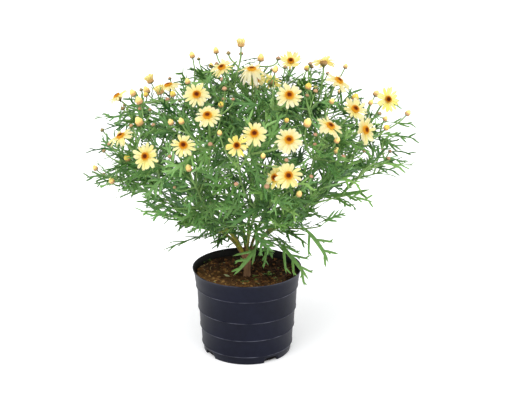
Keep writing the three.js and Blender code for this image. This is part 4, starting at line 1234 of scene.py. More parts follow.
# Heights of the beads, and how near one a corner takes the pale edge: partly wear, partly painted
# highlight.
BEAD_HEIGHTS = (10.3, 32.1, 55.0, 82.5, 103.9)
BEAD_WEAR_AND_HIGHLIGHT_REACH = 0.45
NOTCH_AZIMUTHS = (-57, 33, 123, 213)
NOTCH_ARCH = (
    (-10, -2), (10, -2), (9.3, 2.2), (7.6, 4.9), (5, 6.4), (0, 6.7), (-5, 6.4), (-7.6, 4.9),
    (-9.3, 2.2),
)
NOTCH_REACH = (43.0, 61.0)
# Share of a corner's distance by which its normal points in on the pot's inside.
POINTS_IN = 0.3


def mesh_of(body, name):
    """The mesh of a closed body, with its faces turned outwards."""
    bmesh.ops.recalc_face_normals(body, faces=body.faces)
    mesh = bpy.data.meshes.new(name)
    body.to_mesh(mesh)
    body.free()
    return mesh


def lathe(profile, segments):
    """A closed mesh turned from a profile that starts and ends on the axis."""
    body = bmesh.new()
    rings = []
    for radius, high in profile:
        places = [round_place(turn, radius, high) for turn in turns(segments if radius else 1)]
        rings.append([body.verts.new(tuple(place * MM)) for place in places])
    for lower, upper in zip(rings, rings[1:]):
        for j in range(segments):
            k = (j + 1) % segments
            if len(lower) == 1:
                body.faces.new((lower[0], upper[k], upper[j]))
            elif len(upper) == 1:
                body.faces.new((lower[j], lower[k], upper[0]))
            else:
                body.faces.new((lower[j], lower[k], upper[k], upper[j]))
    for face in body.faces:
        face.smooth = True
    return mesh_of(body, "turned")


def notch_mesh(azimuth):
    """An arched block that cuts one drain notch."""
    out = facing(azimuth, 0)
    beside = np.array([-out[1], out[0], 0.0])
    body = bmesh.new()
    ends = []
    for radius in NOTCH_REACH:
        places = [(out * radius + beside * x + UP * z) * MM for x, z in NOTCH_ARCH]
        ends.append([body.verts.new(tuple(place)) for place in places])
    body.faces.new(ends[0])
    body.faces.new(reversed(ends[1]))
    for j in range(len(NOTCH_ARCH)):
        k = (j + 1) % len(NOTCH_ARCH)
        body.faces.new((ends[0][j], ends[1][j], ends[1][k], ends[0][k]))
    return mesh_of(body, "notch")


def with_modifiers(piece):
    """A plain mesh of the piece as its modifiers make it."""
    graph = bpy.context.evaluated_depsgraph_get()
    mesh = bpy.data.meshes.new_from_object(piece.evaluated_get(graph))
    piece.modifiers.clear()
    piece.data = mesh


def nursery_pot(finish):
    mesh = lathe(POT_PROFILE, POT_SEGMENTS)
    mesh.materials.append(finish)
    piece = ridden("nursery_pot", mesh)
    cutters = []
    for azimuth in NOTCH_AZIMUTHS:
        cutter = placed("notch", notch_mesh(azimuth))
        cut = piece.modifiers.new("notch", "BOOLEAN")
        cut.operation = "DIFFERENCE"
        cut.solver = "EXACT"
        cut.object = cutter
        cutters.append(cutter)
    bpy.context.view_layer.update()
    with_modifiers(piece)
    for cutter in cutters:
        bpy.data.objects.remove(cutter)
    # Mark of each corner: 1 on the beads, whose pale edge is partly wear and partly painted highlight,
    # -1 on the inside, which is painted darker as painted shade.
    wear_highlight_and_inner_shade = piece.data.attributes.new("wear_highlight_and_inner_shade", "FLOAT", "POINT")
    for corner, mark in zip(piece.data.vertices, wear_highlight_and_inner_shade.data):
        near = min(abs(corner.co.z / MM - high) for high in BEAD_HEIGHTS)
        outward = corner.normal.x * corner.co.x + corner.normal.y * corner.co.y
        inside = outward < -POINTS_IN * math.hypot(corner.co.x, corner.co.y)
        mark.value = -1.0 if inside else 1.0 if near < BEAD_WEAR_AND_HIGHLIGHT_REACH else 0.0
    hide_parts("pot")


# Soil: rings of the plug, then the rough top with its crumbs, fibres and scraps.
SOIL_SEGMENTS = 120
PLUG_RINGS = ((50.5, 2.0), (57.4, 81.3))
SOIL_TOP = 92.0
SOIL_RISE = 3.4
SOIL_EDGE = 60.4
SOIL_RINGS = 36
HOLE_RADIUS = 4.2
# Lumps as in the solid: height, waves round the middle and waves outwards.
SOIL_LUMPS = ((1.1, 3, 0.21), (0.7, 7, -0.33))
# Noise on them: scale, offset, dimension, step, octaves and height.
SOIL_NOISE = ((0.16, 3.1, 0.9, 2.1, 4, 1.7), (0.55, 7.7, 0.8, 2.0, 3, 0.75))
# Light of the peat in the middle, its fall towards +X and the back, and its patches. The fall is painted
# light and shade: lighter at the front left, darker at the back.
LIGHT_MIDDLE = 0.5
PAINTED_SHADE_FALL = (0.006, 0.0095)
LIGHT_PATCH = 0.22
PATCH_SCALE = 0.07
PEAT, CRUMB, FIBRE, SCRAP, SPROUT = range(5)
# Tones: what the painted light gives to peat and to crumbs, what chance gives, and those of pale pieces.
PEAT_TONE = (0.8, 0.3)
CRUMB_TONE = (0.55, 0.6)
FIBRE_TONE = 0.75
SCRAP_TONE = 0.7
STRAW_TONES = (0.85, 1.0)
PALE_TONES = (0.9, 1.0)
CRUMBS = 1300
FIBRES = 150
SCRAPS = 22
FIBRE_LONG = (2.5, 10.0)
FIBRE_RADIUS = (0.12, 0.26)
STRAW_RADIUS = 0.4
SCRAP_LONG = (2.0, 5.0)
# Small crumbs, the share of them, and the larger ones.
CRUMB_SMALL = (0.35, 0.9)
CRUMB_SHARE = 0.8
CRUMB_LARGE = (0.9, 2.1)
CRUMB_STRETCH = (0.75, 1.3)
CRUMB_MARGIN = 1.5
FIBRE_MARGIN = 7.0
SCRAP_MARGIN = 8.0
FIBRE_STEPS = 5
FIBRE_BEND = 0.5
FIBRE_LIFT = 0.25
FIBRE_HUMP = (0.2, 1.2)
# A fibre that comes this near the edge is drawn back to this share of its place.
FIBRE_END_MARGIN = 1.5
FIBRE_BACK = np.array([0.93, 0.93, 1.0])
SCRAP_LIFT = 0.9
SCRAP_WIDE = (0.15, 0.26)
SCRAP_RIDGE = 0.35
# Straws, pale scraps and seedlings that show on the peat: place and length.
STRAWS = [(-53, 25, 12), (-44, 14, 10), (-47, 35, 8), (-50, 8, 7), (20, 3, 6), (31, -14, 6)]
PALE_SCRAPS = [(-24, -5, 9), (-27, 36, 7), (-30, 20, 5), (-4, -34, 4), (-38, -26, 4), (14, -30, 4)]
SPROUTS = [
    (25, -7, 6.0), (29, -3, 4.6), (9, -8, 4.2), (0, -26, 3.6), (11, -23, 3.4), (-5, -30, 2.8),
    (33, -16, 3.2), (-52, 31, 2.4), (-46, 38, 2.6),
]


def painted_peat_light(x, y):
    """How light the peat is painted at a place: painted light at the front left, painted shade towards
    +X and the back, with patches at random.
    """
    patch = LIGHT_PATCH * noise.noise(Vector((x * PATCH_SCALE, y * PATCH_SCALE, 1.3)))
    return clamped(LIGHT_MIDDLE - PAINTED_SHADE_FALL[0] * x - PAINTED_SHADE_FALL[1] * y + patch)


def soil_height(x, y):
    """Height of the peat's surface: the dish and lumps of the solid, with crumbs on them."""
    radius = math.hypot(x, y)
    turn = math.atan2(y, x)
    dish = SOIL_TOP + SOIL_RISE * (radius / SOIL_EDGE) ** 2
    lumps = sum(high * math.sin(waves * turn + radius * out) for high, waves, out in SOIL_LUMPS)
    fade = clamped((SOIL_EDGE - radius) / 8)
    rough = 0
    for scale, offset, dimension, step, octaves, high in SOIL_NOISE:
        place = Vector((x * scale, y * scale, offset))
        rough += noise.fractal(place, dimension, step, octaves) * high
    return dish + lumps * (0.4 + 0.6 * fade) + rough * (0.35 + 0.65 * fade)


def on_soil(x, y):
    return np.array([x, y, soil_height(x, y)])


def spot_on_soil(draw, margin):
    turn = draw.uniform(0, 2 * math.pi)
    radius = math.sqrt(draw.uniform(0.02, 1.0)) * (SOIL_EDGE - margin)
    return on_soil(radius * math.cos(turn), radius * math.sin(turn))


def soil_plug(finishes):
    growth = Growth("tone", "deep")
    draw = random.Random(SOIL_SEED)
    around = turns(SOIL_SEGMENTS)
    places = [round_place(turn, radius, high) for radius, high in PLUG_RINGS for turn in around]
    buried = len(places)
    for i in range(SOIL_RINGS + 1):
        radius = SOIL_EDGE + (HOLE_RADIUS - SOIL_EDGE) * i / SOIL_RINGS
        places.extend(on_soil(radius * math.cos(turn), radius * math.sin(turn)) for turn in around)
    tones = [PEAT_TONE[0] * painted_peat_light(place[0], place[1])
             + PEAT_TONE[1] * noise.noise(Vector(place * 0.3)) for place in places]
    # The side of the plug is marked to be painted almost black: painted shade inside the notches.
    deep = [1.0] * buried + [0.0] * (len(places) - buried)
    faces = tube_faces(SOIL_SEGMENTS, len(places) // SOIL_SEGMENTS)
    growth.add(places, faces, PEAT, True, tone=tones, deep=deep)
    for _ in range(CRUMBS):
        add_crumb(growth, draw)
    for _ in range(FIBRES):
        tone = FIBRE_TONE * draw.random()
        spot = spot_on_soil(draw, FIBRE_MARGIN)
        add_fibre(growth, spot, draw.uniform(*FIBRE_LONG), draw.uniform(*FIBRE_RADIUS), tone, draw)
    for x, y, long in STRAWS:
        tone = draw.uniform(*STRAW_TONES)
        add_fibre(growth, np.array([x, y, 0.0]), long, STRAW_RADIUS, tone, draw)
    for _ in range(SCRAPS):
        spot = spot_on_soil(draw, SCRAP_MARGIN)
        add_scrap(growth, spot, draw.uniform(*SCRAP_LONG), SCRAP_TONE * draw.random(), draw)
    for x, y, long in PALE_SCRAPS:
        add_scrap(growth, on_soil(x, y), long, draw.uniform(*PALE_TONES), draw)
    for x, y, size in SPROUTS:
        add_sprout(growth, on_soil(x, y), size, draw)
    piece = growth.piece("peat_plug", finishes)
    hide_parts("soil")


CRUMB_CORNERS = [
    (1, 0, 0), (0.3, 0.95, 0), (-0.8, 0.6, 0), (-0.8, -0.6, 0), (0.3, -0.95, 0), (0.1, 0.1, 0.9),
    (0.55, 0.5, 0.6), (-0.6, 0.2, 0.7), (-0.1, -0.7, 0.65), (0, 0, -0.7),
]
CRUMB_FACES = [
    (0, 1, 6), (1, 5, 6), (0, 6, 5), (1, 2, 7), (1, 7, 5), (2, 3, 7), (3, 8, 7), (7, 8, 5),
    (3, 4, 8), (4, 0, 8), (0, 5, 8), (1, 0, 9), (2, 1, 9), (3, 2, 9), (4, 3, 9), (0, 4, 9),
]


def add_crumb(growth, draw):
    """One crumb of peat: an uneven lump, half sunk in the surface."""
    spot = spot_on_soil(draw, CRUMB_MARGIN)
    size = draw.uniform(*(CRUMB_SMALL if draw.random() < CRUMB_SHARE else CRUMB_LARGE))
    turn = draw.uniform(0, 2 * math.pi)
    cos, sin = math.cos(turn), math.sin(turn)
    places = []
    for x, y, z in CRUMB_CORNERS:
        stretch = draw.uniform(*CRUMB_STRETCH)
        places.append(spot + np.array([
            (x * cos - y * sin) * size * stretch * 1.2, (x * sin + y * cos) * size * stretch,
            (z * 0.8 + 0.15) * size * stretch]))
    tone = CRUMB_TONE[1] * draw.random() + CRUMB_TONE[0] * painted_peat_light(spot[0], spot[1])
    growth.add(places, CRUMB_FACES, CRUMB, False, tone=min(tone, 1.0))


def add_fibre(growth, spot, long, radius, tone, draw):
    """One thread of peat, root or straw that lies on the surface."""
    heading = draw.uniform(0, 2 * math.pi)
    bend = draw.uniform(-FIBRE_BEND, FIBRE_BEND)
    centres = []
    place = spot
    for i in range(FIBRE_STEPS + 1):
        hump = math.sin(math.pi * i / FIBRE_STEPS) * draw.uniform(*FIBRE_HUMP)
        centres.append(on_soil(place[0], place[1]) + UP * FIBRE_LIFT + UP * hump)
        heading += bend / FIBRE_STEPS * 2
        place = place + level_way(heading) * long / FIBRE_STEPS
        if math.hypot(place[0], place[1]) > SOIL_EDGE - FIBRE_END_MARGIN:
            place = place * FIBRE_BACK
    add_tube(growth, centres, [radius] * len(centres), 4, finish=FIBRE, tone=tone)


def add_scrap(growth, spot, long, tone, draw):
    """A small dry scrap of leaf on the peat."""
    spot = spot + UP * SCRAP_LIFT
    turn = draw.uniform(0, 2 * math.pi)
    out = level_way(turn, draw.uniform(-0.2, 0.4))
    side = np.array([-math.sin(turn), math.cos(turn), draw.uniform(-0.2, 0.2)])
    wide = long * draw.uniform(*SCRAP_WIDE)
    places = [spot - out * long / 2, spot - side * wide, spot + UP * SCRAP_RIDGE, spot + side * wide,
              spot + out * long / 2]
    faces = [(0, 1, 2), (0, 2, 3), (1, 4, 2), (2, 4, 3), (0, 3, 4, 1)]
    growth.add(places, faces, SCRAP, False, tone=tone)


# A seedling's stalk, then its leaf: how far along it, and its half width as a share of its length.
SPROUT_STALK = (0.3, 0.26, 0.2)
SPROUT_WIDTHS = ((0.0, 0.06), (0.3, 0.24), (0.62, 0.3), (0.88, 0.17), (1.0, 0.04))


def add_sprout(growth, foot, size, draw):
    """A seedling: three rounded leaves on a short stalk."""
    head = foot + UP * size * 0.55
    stalk = [foot - UP * 0.6, foot + UP * size * 0.3, head]
    add_tube(growth, stalk, SPROUT_STALK, 5, finish=SPROUT, tone=0.3)
    start = draw.uniform(0, 2 * math.pi)
    for k in range(3):
        turn = start + 2 * math.pi * k / 3
        out = level_way(turn, draw.uniform(0.05, 0.4))
        side = np.array([-math.sin(turn), math.cos(turn), 0.0])
        places = []
        for share, width in SPROUT_WIDTHS:
            middle = head + out * size * share + UP * size * 0.12 * math.sin(math.pi * share)
            edge = side * size * width
            places.extend((middle - edge, middle + UP * 0.25, middle + edge))
        faces = [(0, 2, 1), (12, 13, 14)] + blade_faces(len(SPROUT_WIDTHS))
        growth.add(places, faces, SPROUT, True, tone=draw.random())


# Trunk: radius and height, then the forks.
TRUNK_PROFILE = [
    (4.2, 60.4), (4.3, 80.0), (4.8, 87.0), (4.45, 91.0), (4.1, 96.0), (4.15, 102.0), (4.5, 107.0),
    (4.5, 111.0), (3.4, 114.5), (1.0, 116.0),
]
TRUNK_SIDES = 28
TRUNK_STEPS = 4
# Creases and knots of the bark: scale round it, scale up it and height as a share of the radius.
BARK_NOISE = ((2.4, 0.09, 0.1), (5.0, 0.35, 0.05))
FORK_THICK = (2.5, 2.05)
FORK_STEPS = 10
FORK_SIDES = 12


def woody_trunk(finish):
    growth = Growth("tone")
    places = []
    for radius, high in refined(TRUNK_PROFILE, TRUNK_STEPS):
        for turn in turns(TRUNK_SIDES):
            way = level_way(turn)
            swell = 1
            for around, up, share in BARK_NOISE:
                swell += share * noise.noise(Vector((way[0] * around, way[1] * around, high * up)))
            places.append(way * (radius * swell) + UP * high)
    growth.add(places, tube_faces(TRUNK_SIDES, len(places) // TRUNK_SIDES))
    for number in range(len(STEMS)):
        curve = fork_curve(number)
        steps = range(FORK_STEPS + 1)
        centres = [on_curve(curve, i / FORK_STEPS) for i in steps]
        radii = [FORK_THICK[0] + (FORK_THICK[1] - FORK_THICK[0]) * i / FORK_STEPS for i in steps]
        greens = [woodiness(place) for place in centres]
        add_tube(growth, centres, radii, FORK_SIDES, finish=0, tone=greens)
    piece = growth.piece("trunk_and_forks", [finish])
    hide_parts("woody_trunk")


def refined(profile, steps):
    """The profile with more rings between its own."""
    rings = []
    for (radius, high), (radius_next, high_next) in zip(profile, profile[1:]):
        for i in range(steps):
            share = i / steps
            rings.append((radius + (radius_next - radius) * share, high + (high_next - high) * share))
    rings.append(profile[-1])
    return rings


# Shader groups and finishes.

def effect_group(name, inputs, outputs):
    """An empty shader group with named inputs and outputs."""
    group = bpy.data.node_groups.new(name, "ShaderNodeTree")
    for label, kind, value in inputs:
        socket = group.interface.new_socket(name=label, in_out="INPUT", socket_type=kind)
        socket.default_value = value
    for label, kind in outputs:
        group.interface.new_socket(name=label, in_out="OUTPUT", socket_type=kind)
    source = group.nodes.new("NodeGroupInput")
    sink = group.nodes.new("NodeGroupOutput")
    return group, source, sink


def settle(node, values):
    """Sets inputs of a node by their names."""
    for name, value in values.items():
        node.inputs[name].default_value = value


def wire(group, routes):
    """Links given as a node and its output, then a node and its input."""
    for giver, output, taker, target in routes:
        group.links.new(giver.outputs[output], taker.inputs[target])


def mottle_effect():
    """Two colours mixed in soft patches, drawn out upright where Stretch is below 1."""
    group, source, sink = effect_group(
        "mottle",
        [("First", "NodeSocketColor", (0.2, 0.2, 0.2, 1)),
         ("Second", "NodeSocketColor", (0.8, 0.8, 0.8, 1)),
         ("Scale", "NodeSocketFloat", 100.0), ("Stretch", "NodeSocketFloat", 1.0),
         ("Contrast", "NodeSocketFloat", 0.3)],
        [("Colour", "NodeSocketColor"), ("Mask", "NodeSocketFloat")])
    nodes = group.nodes
    patches = nodes.new("ShaderNodeTexNoise")
    settle(patches, {"Detail": 4.0})
    spread = nodes.new("ShaderNodeMapRange")
    settle(spread, {"From Min": 0.35, "From Max": 0.65})
    share = nodes.new("ShaderNodeMath")
    share.operation = "MULTIPLY"
    mix = nodes.new("ShaderNodeMix")
    mix.data_type = "RGBA"
    place = nodes.new("ShaderNodeTexCoord")
    scales = nodes.new("ShaderNodeCombineXYZ")
    settle(scales, {"X": 1.0, "Y": 1.0})
    drawn = nodes.new("ShaderNodeVectorMath")
    drawn.operation = "MULTIPLY"
    wire(group, (
        (source, "Stretch", scales, "Z"), (place, "Object", drawn, 0), (scales, "Vector", drawn, 1),
        (drawn, "Vector", patches, "Vector"), (source, "Scale", patches, "Scale"),
        (patches, "Fac", spread, "Value"), (spread, "Result", share, 0),
        (source, "Contrast", share, 1), (share, "Value", mix, "Factor"),
        (source, "First", mix, "A"), (source, "Second", mix, "B"),
        (mix, "Result", sink, "Colour"), (share, "Value", sink, "Mask"),
    ))
    return group


def grain_effect():
    """Fine raised grain, as a normal."""
    group, source, sink = effect_group(
        "grain",
        [("Scale", "NodeSocketFloat", 900.0), ("Strength", "NodeSocketFloat", 0.2),
         ("Depth", "NodeSocketFloat", 0.0003)],
        [("Normal", "NodeSocketVector")])
    specks = group.nodes.new("ShaderNodeTexNoise")
    settle(specks, {"Detail": 5.0})
    bump = group.nodes.new("ShaderNodeBump")
    place = group.nodes.new("ShaderNodeTexCoord")
    wire(group, (
        (place, "Object", specks, "Vector"), (source, "Scale", specks, "Scale"),
        (specks, "Fac", bump, "Height"), (source, "Strength", bump, "Strength"),
        (source, "Depth", bump, "Distance"), (bump, "Normal", sink, "Normal"),
    ))
    return group


MOTTLE = mottle_effect()
GRAIN = grain_effect()


class Finish:
    """A material with a Principled shader, and short ways to wire it.

    Colours are given as three steps of 255, and other settings as they are.
    """

    def __init__(self, name, roughness, specular=0.5):
        self.material = bpy.data.materials.new(name)
        self.material.use_nodes = True
        self.nodes = self.material.node_tree.nodes
        self.links = self.material.node_tree.links
        self.shader = self.nodes["Principled BSDF"]
        settle(self.shader, {"Roughness": roughness, "Specular IOR Level": specular})

    def feed(self, value, socket):
        if isinstance(value, bpy.types.NodeSocket):
            self.links.new(value, socket)
        elif isinstance(value, tuple) and len(value) == 3:
            socket.default_value = colour(*value)
        else:
            socket.default_value = value

    def mark(self, name):
        """Value of a mark on the mesh."""
        node = self.nodes.new("ShaderNodeAttribute")
        node.attribute_name = name
        return node.outputs["Fac"]

    def ramp(self, name, stops):
        """Colours along a mark, from stops of place and colour."""
        node = self.nodes.new("ShaderNodeValToRGB")
        elements = node.color_ramp.elements
        while len(elements) < len(stops):
            elements.new(0.5)
        for element, (place, *shade) in zip(elements, stops):
            element.position = place
            element.color = colour(*shade)
        self.links.new(self.mark(name), node.inputs["Fac"])
        return node.outputs["Color"]

    def mix(self, factor, first, second, blend="MIX"):
        node = self.nodes.new("ShaderNodeMix")
        node.data_type = "RGBA"
        node.blend_type = blend
        self.feed(factor, node.inputs["Factor"])
        self.feed(first, node.inputs["A"])
        self.feed(second, node.inputs["B"])
        return node.outputs["Result"]

    def sum(self, operation, first, second):
        node = self.nodes.new("ShaderNodeMath")
        node.operation = operation
        self.feed(first, node.inputs[0])
        self.feed(second, node.inputs[1])
        return node.outputs["Value"]

    def tinted(self, name, share, first, second):
        """The first colour, with some of the second where a mark is high."""
        return self.mix(self.sum("MULTIPLY", self.mark(name), share), first, second)

    def mottle(self, first, second, scale, contrast, stretch=1.0, out="Colour"):
        node = self.nodes.new("ShaderNodeGroup")
        node.node_tree = MOTTLE
        self.feed(first, node.inputs["First"])
        self.feed(second, node.inputs["Second"])
        settle(node, {"Scale": scale, "Stretch": stretch, "Contrast": contrast})
        return node.outputs[out]

    def grain(self, scale, strength, depth):
        node = self.nodes.new("ShaderNodeGroup")
        node.node_tree = GRAIN
        settle(node, {"Scale": scale, "Strength": strength, "Depth": depth})
        self.links.new(node.outputs["Normal"], self.shader.inputs["Normal"])

    def glow_through(self, weight, radius):
        """Light that passes through a thin blade."""
        settle(self.shader, {"Subsurface Weight": weight, "Subsurface Radius": radius,
                             "Subsurface Scale": 1.0})

    def paint(self, shade, glow=0.0, glow_shade=None):
        self.feed(shade, self.shader.inputs["Base Color"])
        if glow:
            self.feed(glow_shade or shade, self.shader.inputs["Emission Color"])
            settle(self.shader, {"Emission Strength": glow})
        return self.material


def leaf_finish():
    """Matt green blade, paler along the rib, that lets some light through. The pale rib is partly the
    leaf's own paler midrib and partly a painted highlight along each ridge.
    """
    finish = Finish("leaf_blade", 0.5, 0.3)
    tone = finish.ramp("tone", [
        (0.0, 26, 56, 24), (0.35, 46, 86, 34), (0.7, 82, 128, 52), (1.0, 140, 180, 94)])
    cooled = finish.mix(finish.mark("cool"), tone, (0.74, 0.92, 1.3, 1.0), "MULTIPLY")
    # Paler along the ridge of every blade and lobe: partly the leaf's own paler rib, partly a painted
    # highlight.
    ribbed = finish.tinted("rib", 0.25, cooled, (140, 176, 106))
    finish.glow_through(0.2, (0.0012, 0.0016, 0.0005))
    finish.grain(1400.0, 0.25, 0.0002)
    return finish.paint(finish.mottle(ribbed, (40, 78, 34), 260.0, 0.25))


def stem_finish():
    """Stalk skin, brown at the crown, olive above it and pale green in the shoots."""
    finish = Finish("stalk_skin", 0.5, 0.3)
    skin = finish.ramp("tone", [
        (0.0, 112, 92, 58), (0.3, 126, 122, 60), (0.6, 122, 148, 74), (1.0, 130, 166, 94)])
    aged = finish.mix(finish.mark("rib"), skin, (158, 146, 40))
    finish.grain(1100.0, 0.25, 0.0002)
    return finish.paint(finish.mottle(aged, (84, 104, 44), 420.0, 0.3, 0.2))


def scale_finish():
    """Bracts of buds and cups: green at the foot, pinkish tan when small, peach when plump."""
    finish = Finish("bract_scales", 0.6, 0.25)
    ripe = finish.ramp("tone", [
        (0.0, 110, 120, 66), (0.2, 156, 134, 92), (0.36, 194, 146, 118), (0.55, 202, 160, 112),
        (0.68, 206, 162, 104)])
    edged = finish.tinted("rib", 0.4, ripe, (228, 196, 150))
    foot = finish.ramp("reach", [(0.2, 255, 255, 255), (0.56, 0, 0, 0)])
    footed = finish.mix(foot, edged, (76, 102, 46))
    finish.grain(1600.0, 0.3, 0.0002)
    return finish.paint(finish.mottle(footed, (126, 92, 66), 560.0, 0.35))


def young_ray_finish():
    """Young rays in a bud: bright yellow in a half open one, cream or peach in the others. They also
    glow a little: painted light that stands in for light shining through them.
    """
    finish = Finish("young_rays", 0.5, 0.25)
    cream = finish.ramp("reach", [
        (0.0, 204, 146, 92), (0.35, 224, 186, 110), (0.75, 242, 226, 140), (1.0, 246, 236, 164)])
    blush = finish.sum("SUBTRACT", finish.mark("tone"), 1.0)
    peach = finish.mix(blush, cream, (218, 176, 126))
    bright = finish.sum("LESS_THAN", finish.mark("tone"), BRIGHT_UP_TO)
    body = finish.mix(bright, peach, (254, 222, 58))
    grooved = finish.tinted("rib", 0.45, body, (252, 238, 164))
    finish.glow_through(0.5, (0.0022, 0.0018, 0.0008))
    finish.grain(900.0, 0.2, 0.0002)
    # Painted light: a constant glow in the rays' own colour, in place of light that shines through them.
    return finish.paint(finish.mottle(grooved, (232, 186, 96), 420.0, 0.28), 0.2)


def ray_finish():
    """Ray florets: pale cream yellow, deeper at the foot and in young blooms, streaked along. They glow
    faintly on top and more on their undersides: painted light in place of light shining through.
    """
    finish = Finish("ray_florets", 0.5, 0.2)
    body = finish.ramp("reach", [
        (0.0, 228, 168, 48), (0.16, 232, 194, 86), (0.38, 231, 208, 136), (0.75, 233, 217, 160),
        (1.0, 237, 225, 182)])
    deep = finish.tinted("young", 0.9, body, (250, 220, 70))
    streaked = finish.tinted("rib", 0.22, deep, (230, 204, 122))
    toned = finish.tinted("tone", 0.35, streaked, (246, 236, 198))
    finish.glow_through(0.7, (0.0026, 0.0022, 0.0012))
    finish.grain(1000.0, 0.15, 0.0002)
    patched = finish.mottle(toned, (228, 206, 138), 380.0, 0.2)
    # Painted light: the rays glow, a little on top and more on their undersides, so that their backs
    # look lit through.
    through = finish.mix(finish.sum("MAXIMUM", finish.mark("under"), 0.15), (0, 0, 0), patched)
    return finish.paint(patched, 0.36, through)


def disc_finish():
    """Disc florets: maroon in the middle, then rust, and golden orange where they are open."""
    finish = Finish("disc_florets", 0.7, 0.15)
    body = finish.ramp("rim", [
        (0.0, 80, 20, 5), (0.36, 110, 34, 6), (0.47, 166, 76, 8), (0.6, 218, 142, 24),
        (1.0, 242, 190, 56)])
    tipped = finish.tinted("crest", 0.15, body, (232, 170, 56))
    return finish.paint(finish.mottle(tipped, (120, 52, 12), 900.0, 0.15))


def pot_finish():
    """Thin black nursery plastic with a soft sheen, faint flow marks and pale edges on the beads, partly
    wear and partly painted highlight. The inside is painted darker as painted shade, with greenish
    specks.
    """
    finish = Finish("pot_plastic", 0.42, 0.14)
    body = finish.mottle((8, 10, 26), (16, 20, 39), 22.0, 0.45)
    dusted = finish.mottle(body, (32, 36, 56), 160.0, 0.12)
    broken = finish.mottle(body, body, 70.0, 0.6, 0.4, "Mask")
    # Pale bead edges: partly wear and dust, partly painted highlight.
    edge = finish.sum("MULTIPLY", finish.sum("MAXIMUM", finish.mark("wear_highlight_and_inner_shade"), 0.0), broken)
    edged = finish.mix(edge, dusted, (104, 106, 120))
    # Painted shade: the inside is painted darker than the outside, with real greenish specks.
    inner_shade_and_specks = finish.mottle((4, 4, 5), (36, 40, 28), 300.0, 0.2)
    finish.grain(520.0, 0.12, 0.0004)
    return finish.paint(finish.mix(finish.sum("LESS_THAN", finish.mark("wear_highlight_and_inner_shade"), -0.5), edged, inner_shade_and_specks))


def peat_finish():
    """Dark peat; the side of the plug, which only the notches show, is painted almost black as painted
    shade.
    """
    finish = Finish("peat", 0.95, 0.15)
    body = finish.ramp("tone", [
        (0.0, 16, 10, 8), (0.3, 44, 28, 20), (0.6, 96, 66, 38), (1.0, 150, 110, 62)])
    mottled = finish.mottle(body, (96, 70, 42), 420.0, 0.3)
    finish.grain(700.0, 0.8, 0.0008)
    # Painted shade: near black on the side of the plug.
    return finish.paint(finish.mix(finish.mark("deep"), mottled, (9, 7, 6)))


# Plain finishes: name, roughness and specular, stops of the tone, patches over it and grain.
CRUMB_LOOK = (
    "peat_crumbs", 0.95, 0.15,
    [(0.0, 22, 13, 10), (0.35, 66, 40, 27), (0.65, 136, 92, 52), (1.0, 200, 154, 92)],
    ((44, 28, 20), 800.0, 0.4), (1200.0, 0.6, 0.0004))
FIBRE_LOOK = (
    "peat_fibres", 0.85, 0.2, [(0.0, 84, 52, 34), (0.7, 140, 100, 60), (1.0, 204, 182, 132)],
    ((82, 54, 34), 600.0, 0.4), None)
SCRAP_LOOK = (
    "leaf_scraps", 0.8, 0.2, [(0.0, 118, 92, 52), (0.6, 126, 134, 66), (1.0, 206, 214, 164)],
    ((110, 100, 58), 600.0, 0.25), None)
SPROUT_LOOK = (
    "seedlings", 0.55, 0.2, [(0.0, 58, 98, 34), (1.0, 116, 142, 56)],
    ((70, 96, 30), 600.0, 0.4), None)
# Bark turns from brown to olive up the forks, and its patches are drawn out upright.
BARK_LOOK = (
    "bark", 0.85, 0.2, [(0.0, 164, 124, 92), (0.5, 138, 120, 70), (1.0, 128, 132, 60)],
    ((84, 62, 42), 420.0, 0.55, 0.12), (480.0, 0.8, 0.0009))


def plain_finish(name, roughness, specular, stops, patches, grain):
    finish = Finish(name, roughness, specular)
    body = finish.ramp("tone", stops)
    if grain:
        finish.grain(*grain)
    return finish.paint(finish.mottle(body, *patches))


def soft_sun(name, azimuth, elevation, strength, spread):
    lamp = bpy.data.lights.new(name, "SUN")
    lamp.energy = strength
    lamp.angle = math.radians(spread)
    light = placed(name, lamp)
    light.rotation_euler = Vector(facing(azimuth, elevation)).to_track_quat("Z", "Y").to_euler()


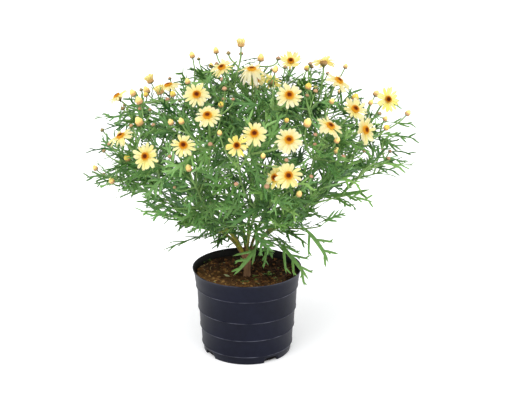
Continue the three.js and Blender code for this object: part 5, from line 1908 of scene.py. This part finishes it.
def studio():
    """Pale floor, white surroundings and soft light from above, and the camera."""
    scene = bpy.context.scene
    floor_mesh = bpy.data.meshes.new("floor")
    places = [(-FLOOR_HALF, -FLOOR_HALF, 0), (FLOOR_HALF, -FLOOR_HALF, 0),
              (FLOOR_HALF, FLOOR_HALF, 0), (-FLOOR_HALF, FLOOR_HALF, 0)]
    floor_mesh.from_pydata(places, [], [(0, 1, 2, 3)])
    floor = placed("floor", floor_mesh)
    paper = Finish("floor_paper", 0.9, 0.1)
    floor_mesh.materials.append(paper.paint((250, 250, 252), FLOOR_GLOW, (255, 255, 255)))

    scene.world = bpy.data.worlds.new("studio")
    scene.world.use_nodes = True
    surround = scene.world.node_tree.nodes["Background"]
    settle(surround, {"Color": (1.0, 1.0, 1.0, 1.0), "Strength": SURROUND})
    for sun in SUNS:
        soft_sun(*sun)

    camera_data = bpy.data.cameras.new("camera")
    camera_data.sensor_fit = "HORIZONTAL"
    camera_data.sensor_width = SENSOR_WIDTH
    camera_data.lens = CAMERA_LENS
    camera_data.clip_end = CAMERA_SEES_TO
    camera = placed("camera", camera_data)
    away = Vector(facing(0, CAMERA_ELEVATION)) * CAMERA_DISTANCE * MM
    camera.location = Vector(CAMERA_TARGET) * MM + away
    camera.rotation_euler = away.to_track_quat("Z", "Y").to_euler()
    scene.camera = camera
    scene.view_settings.view_transform = "Standard"
    scene.view_settings.look = "None"


leafy_finishes = [stem_finish(), leaf_finish(), scale_finish(), young_ray_finish()]
for stem_number, stem_curves in enumerate(growth_plan()):
    leafy_stem(stem_number, stem_curves, leafy_finishes)
rays_look = ray_finish()
disc_look = disc_finish()
for bloom_number in range(len(BLOOMS)):
    ray_florets(bloom_number, rays_look)
    disc_florets(bloom_number, disc_look)
nursery_pot(pot_finish())
soil_looks = [plain_finish(*look) for look in (CRUMB_LOOK, FIBRE_LOOK, SCRAP_LOOK, SPROUT_LOOK)]
soil_plug([peat_finish()] + soil_looks)
woody_trunk(plain_finish(*BARK_LOOK))
studio()
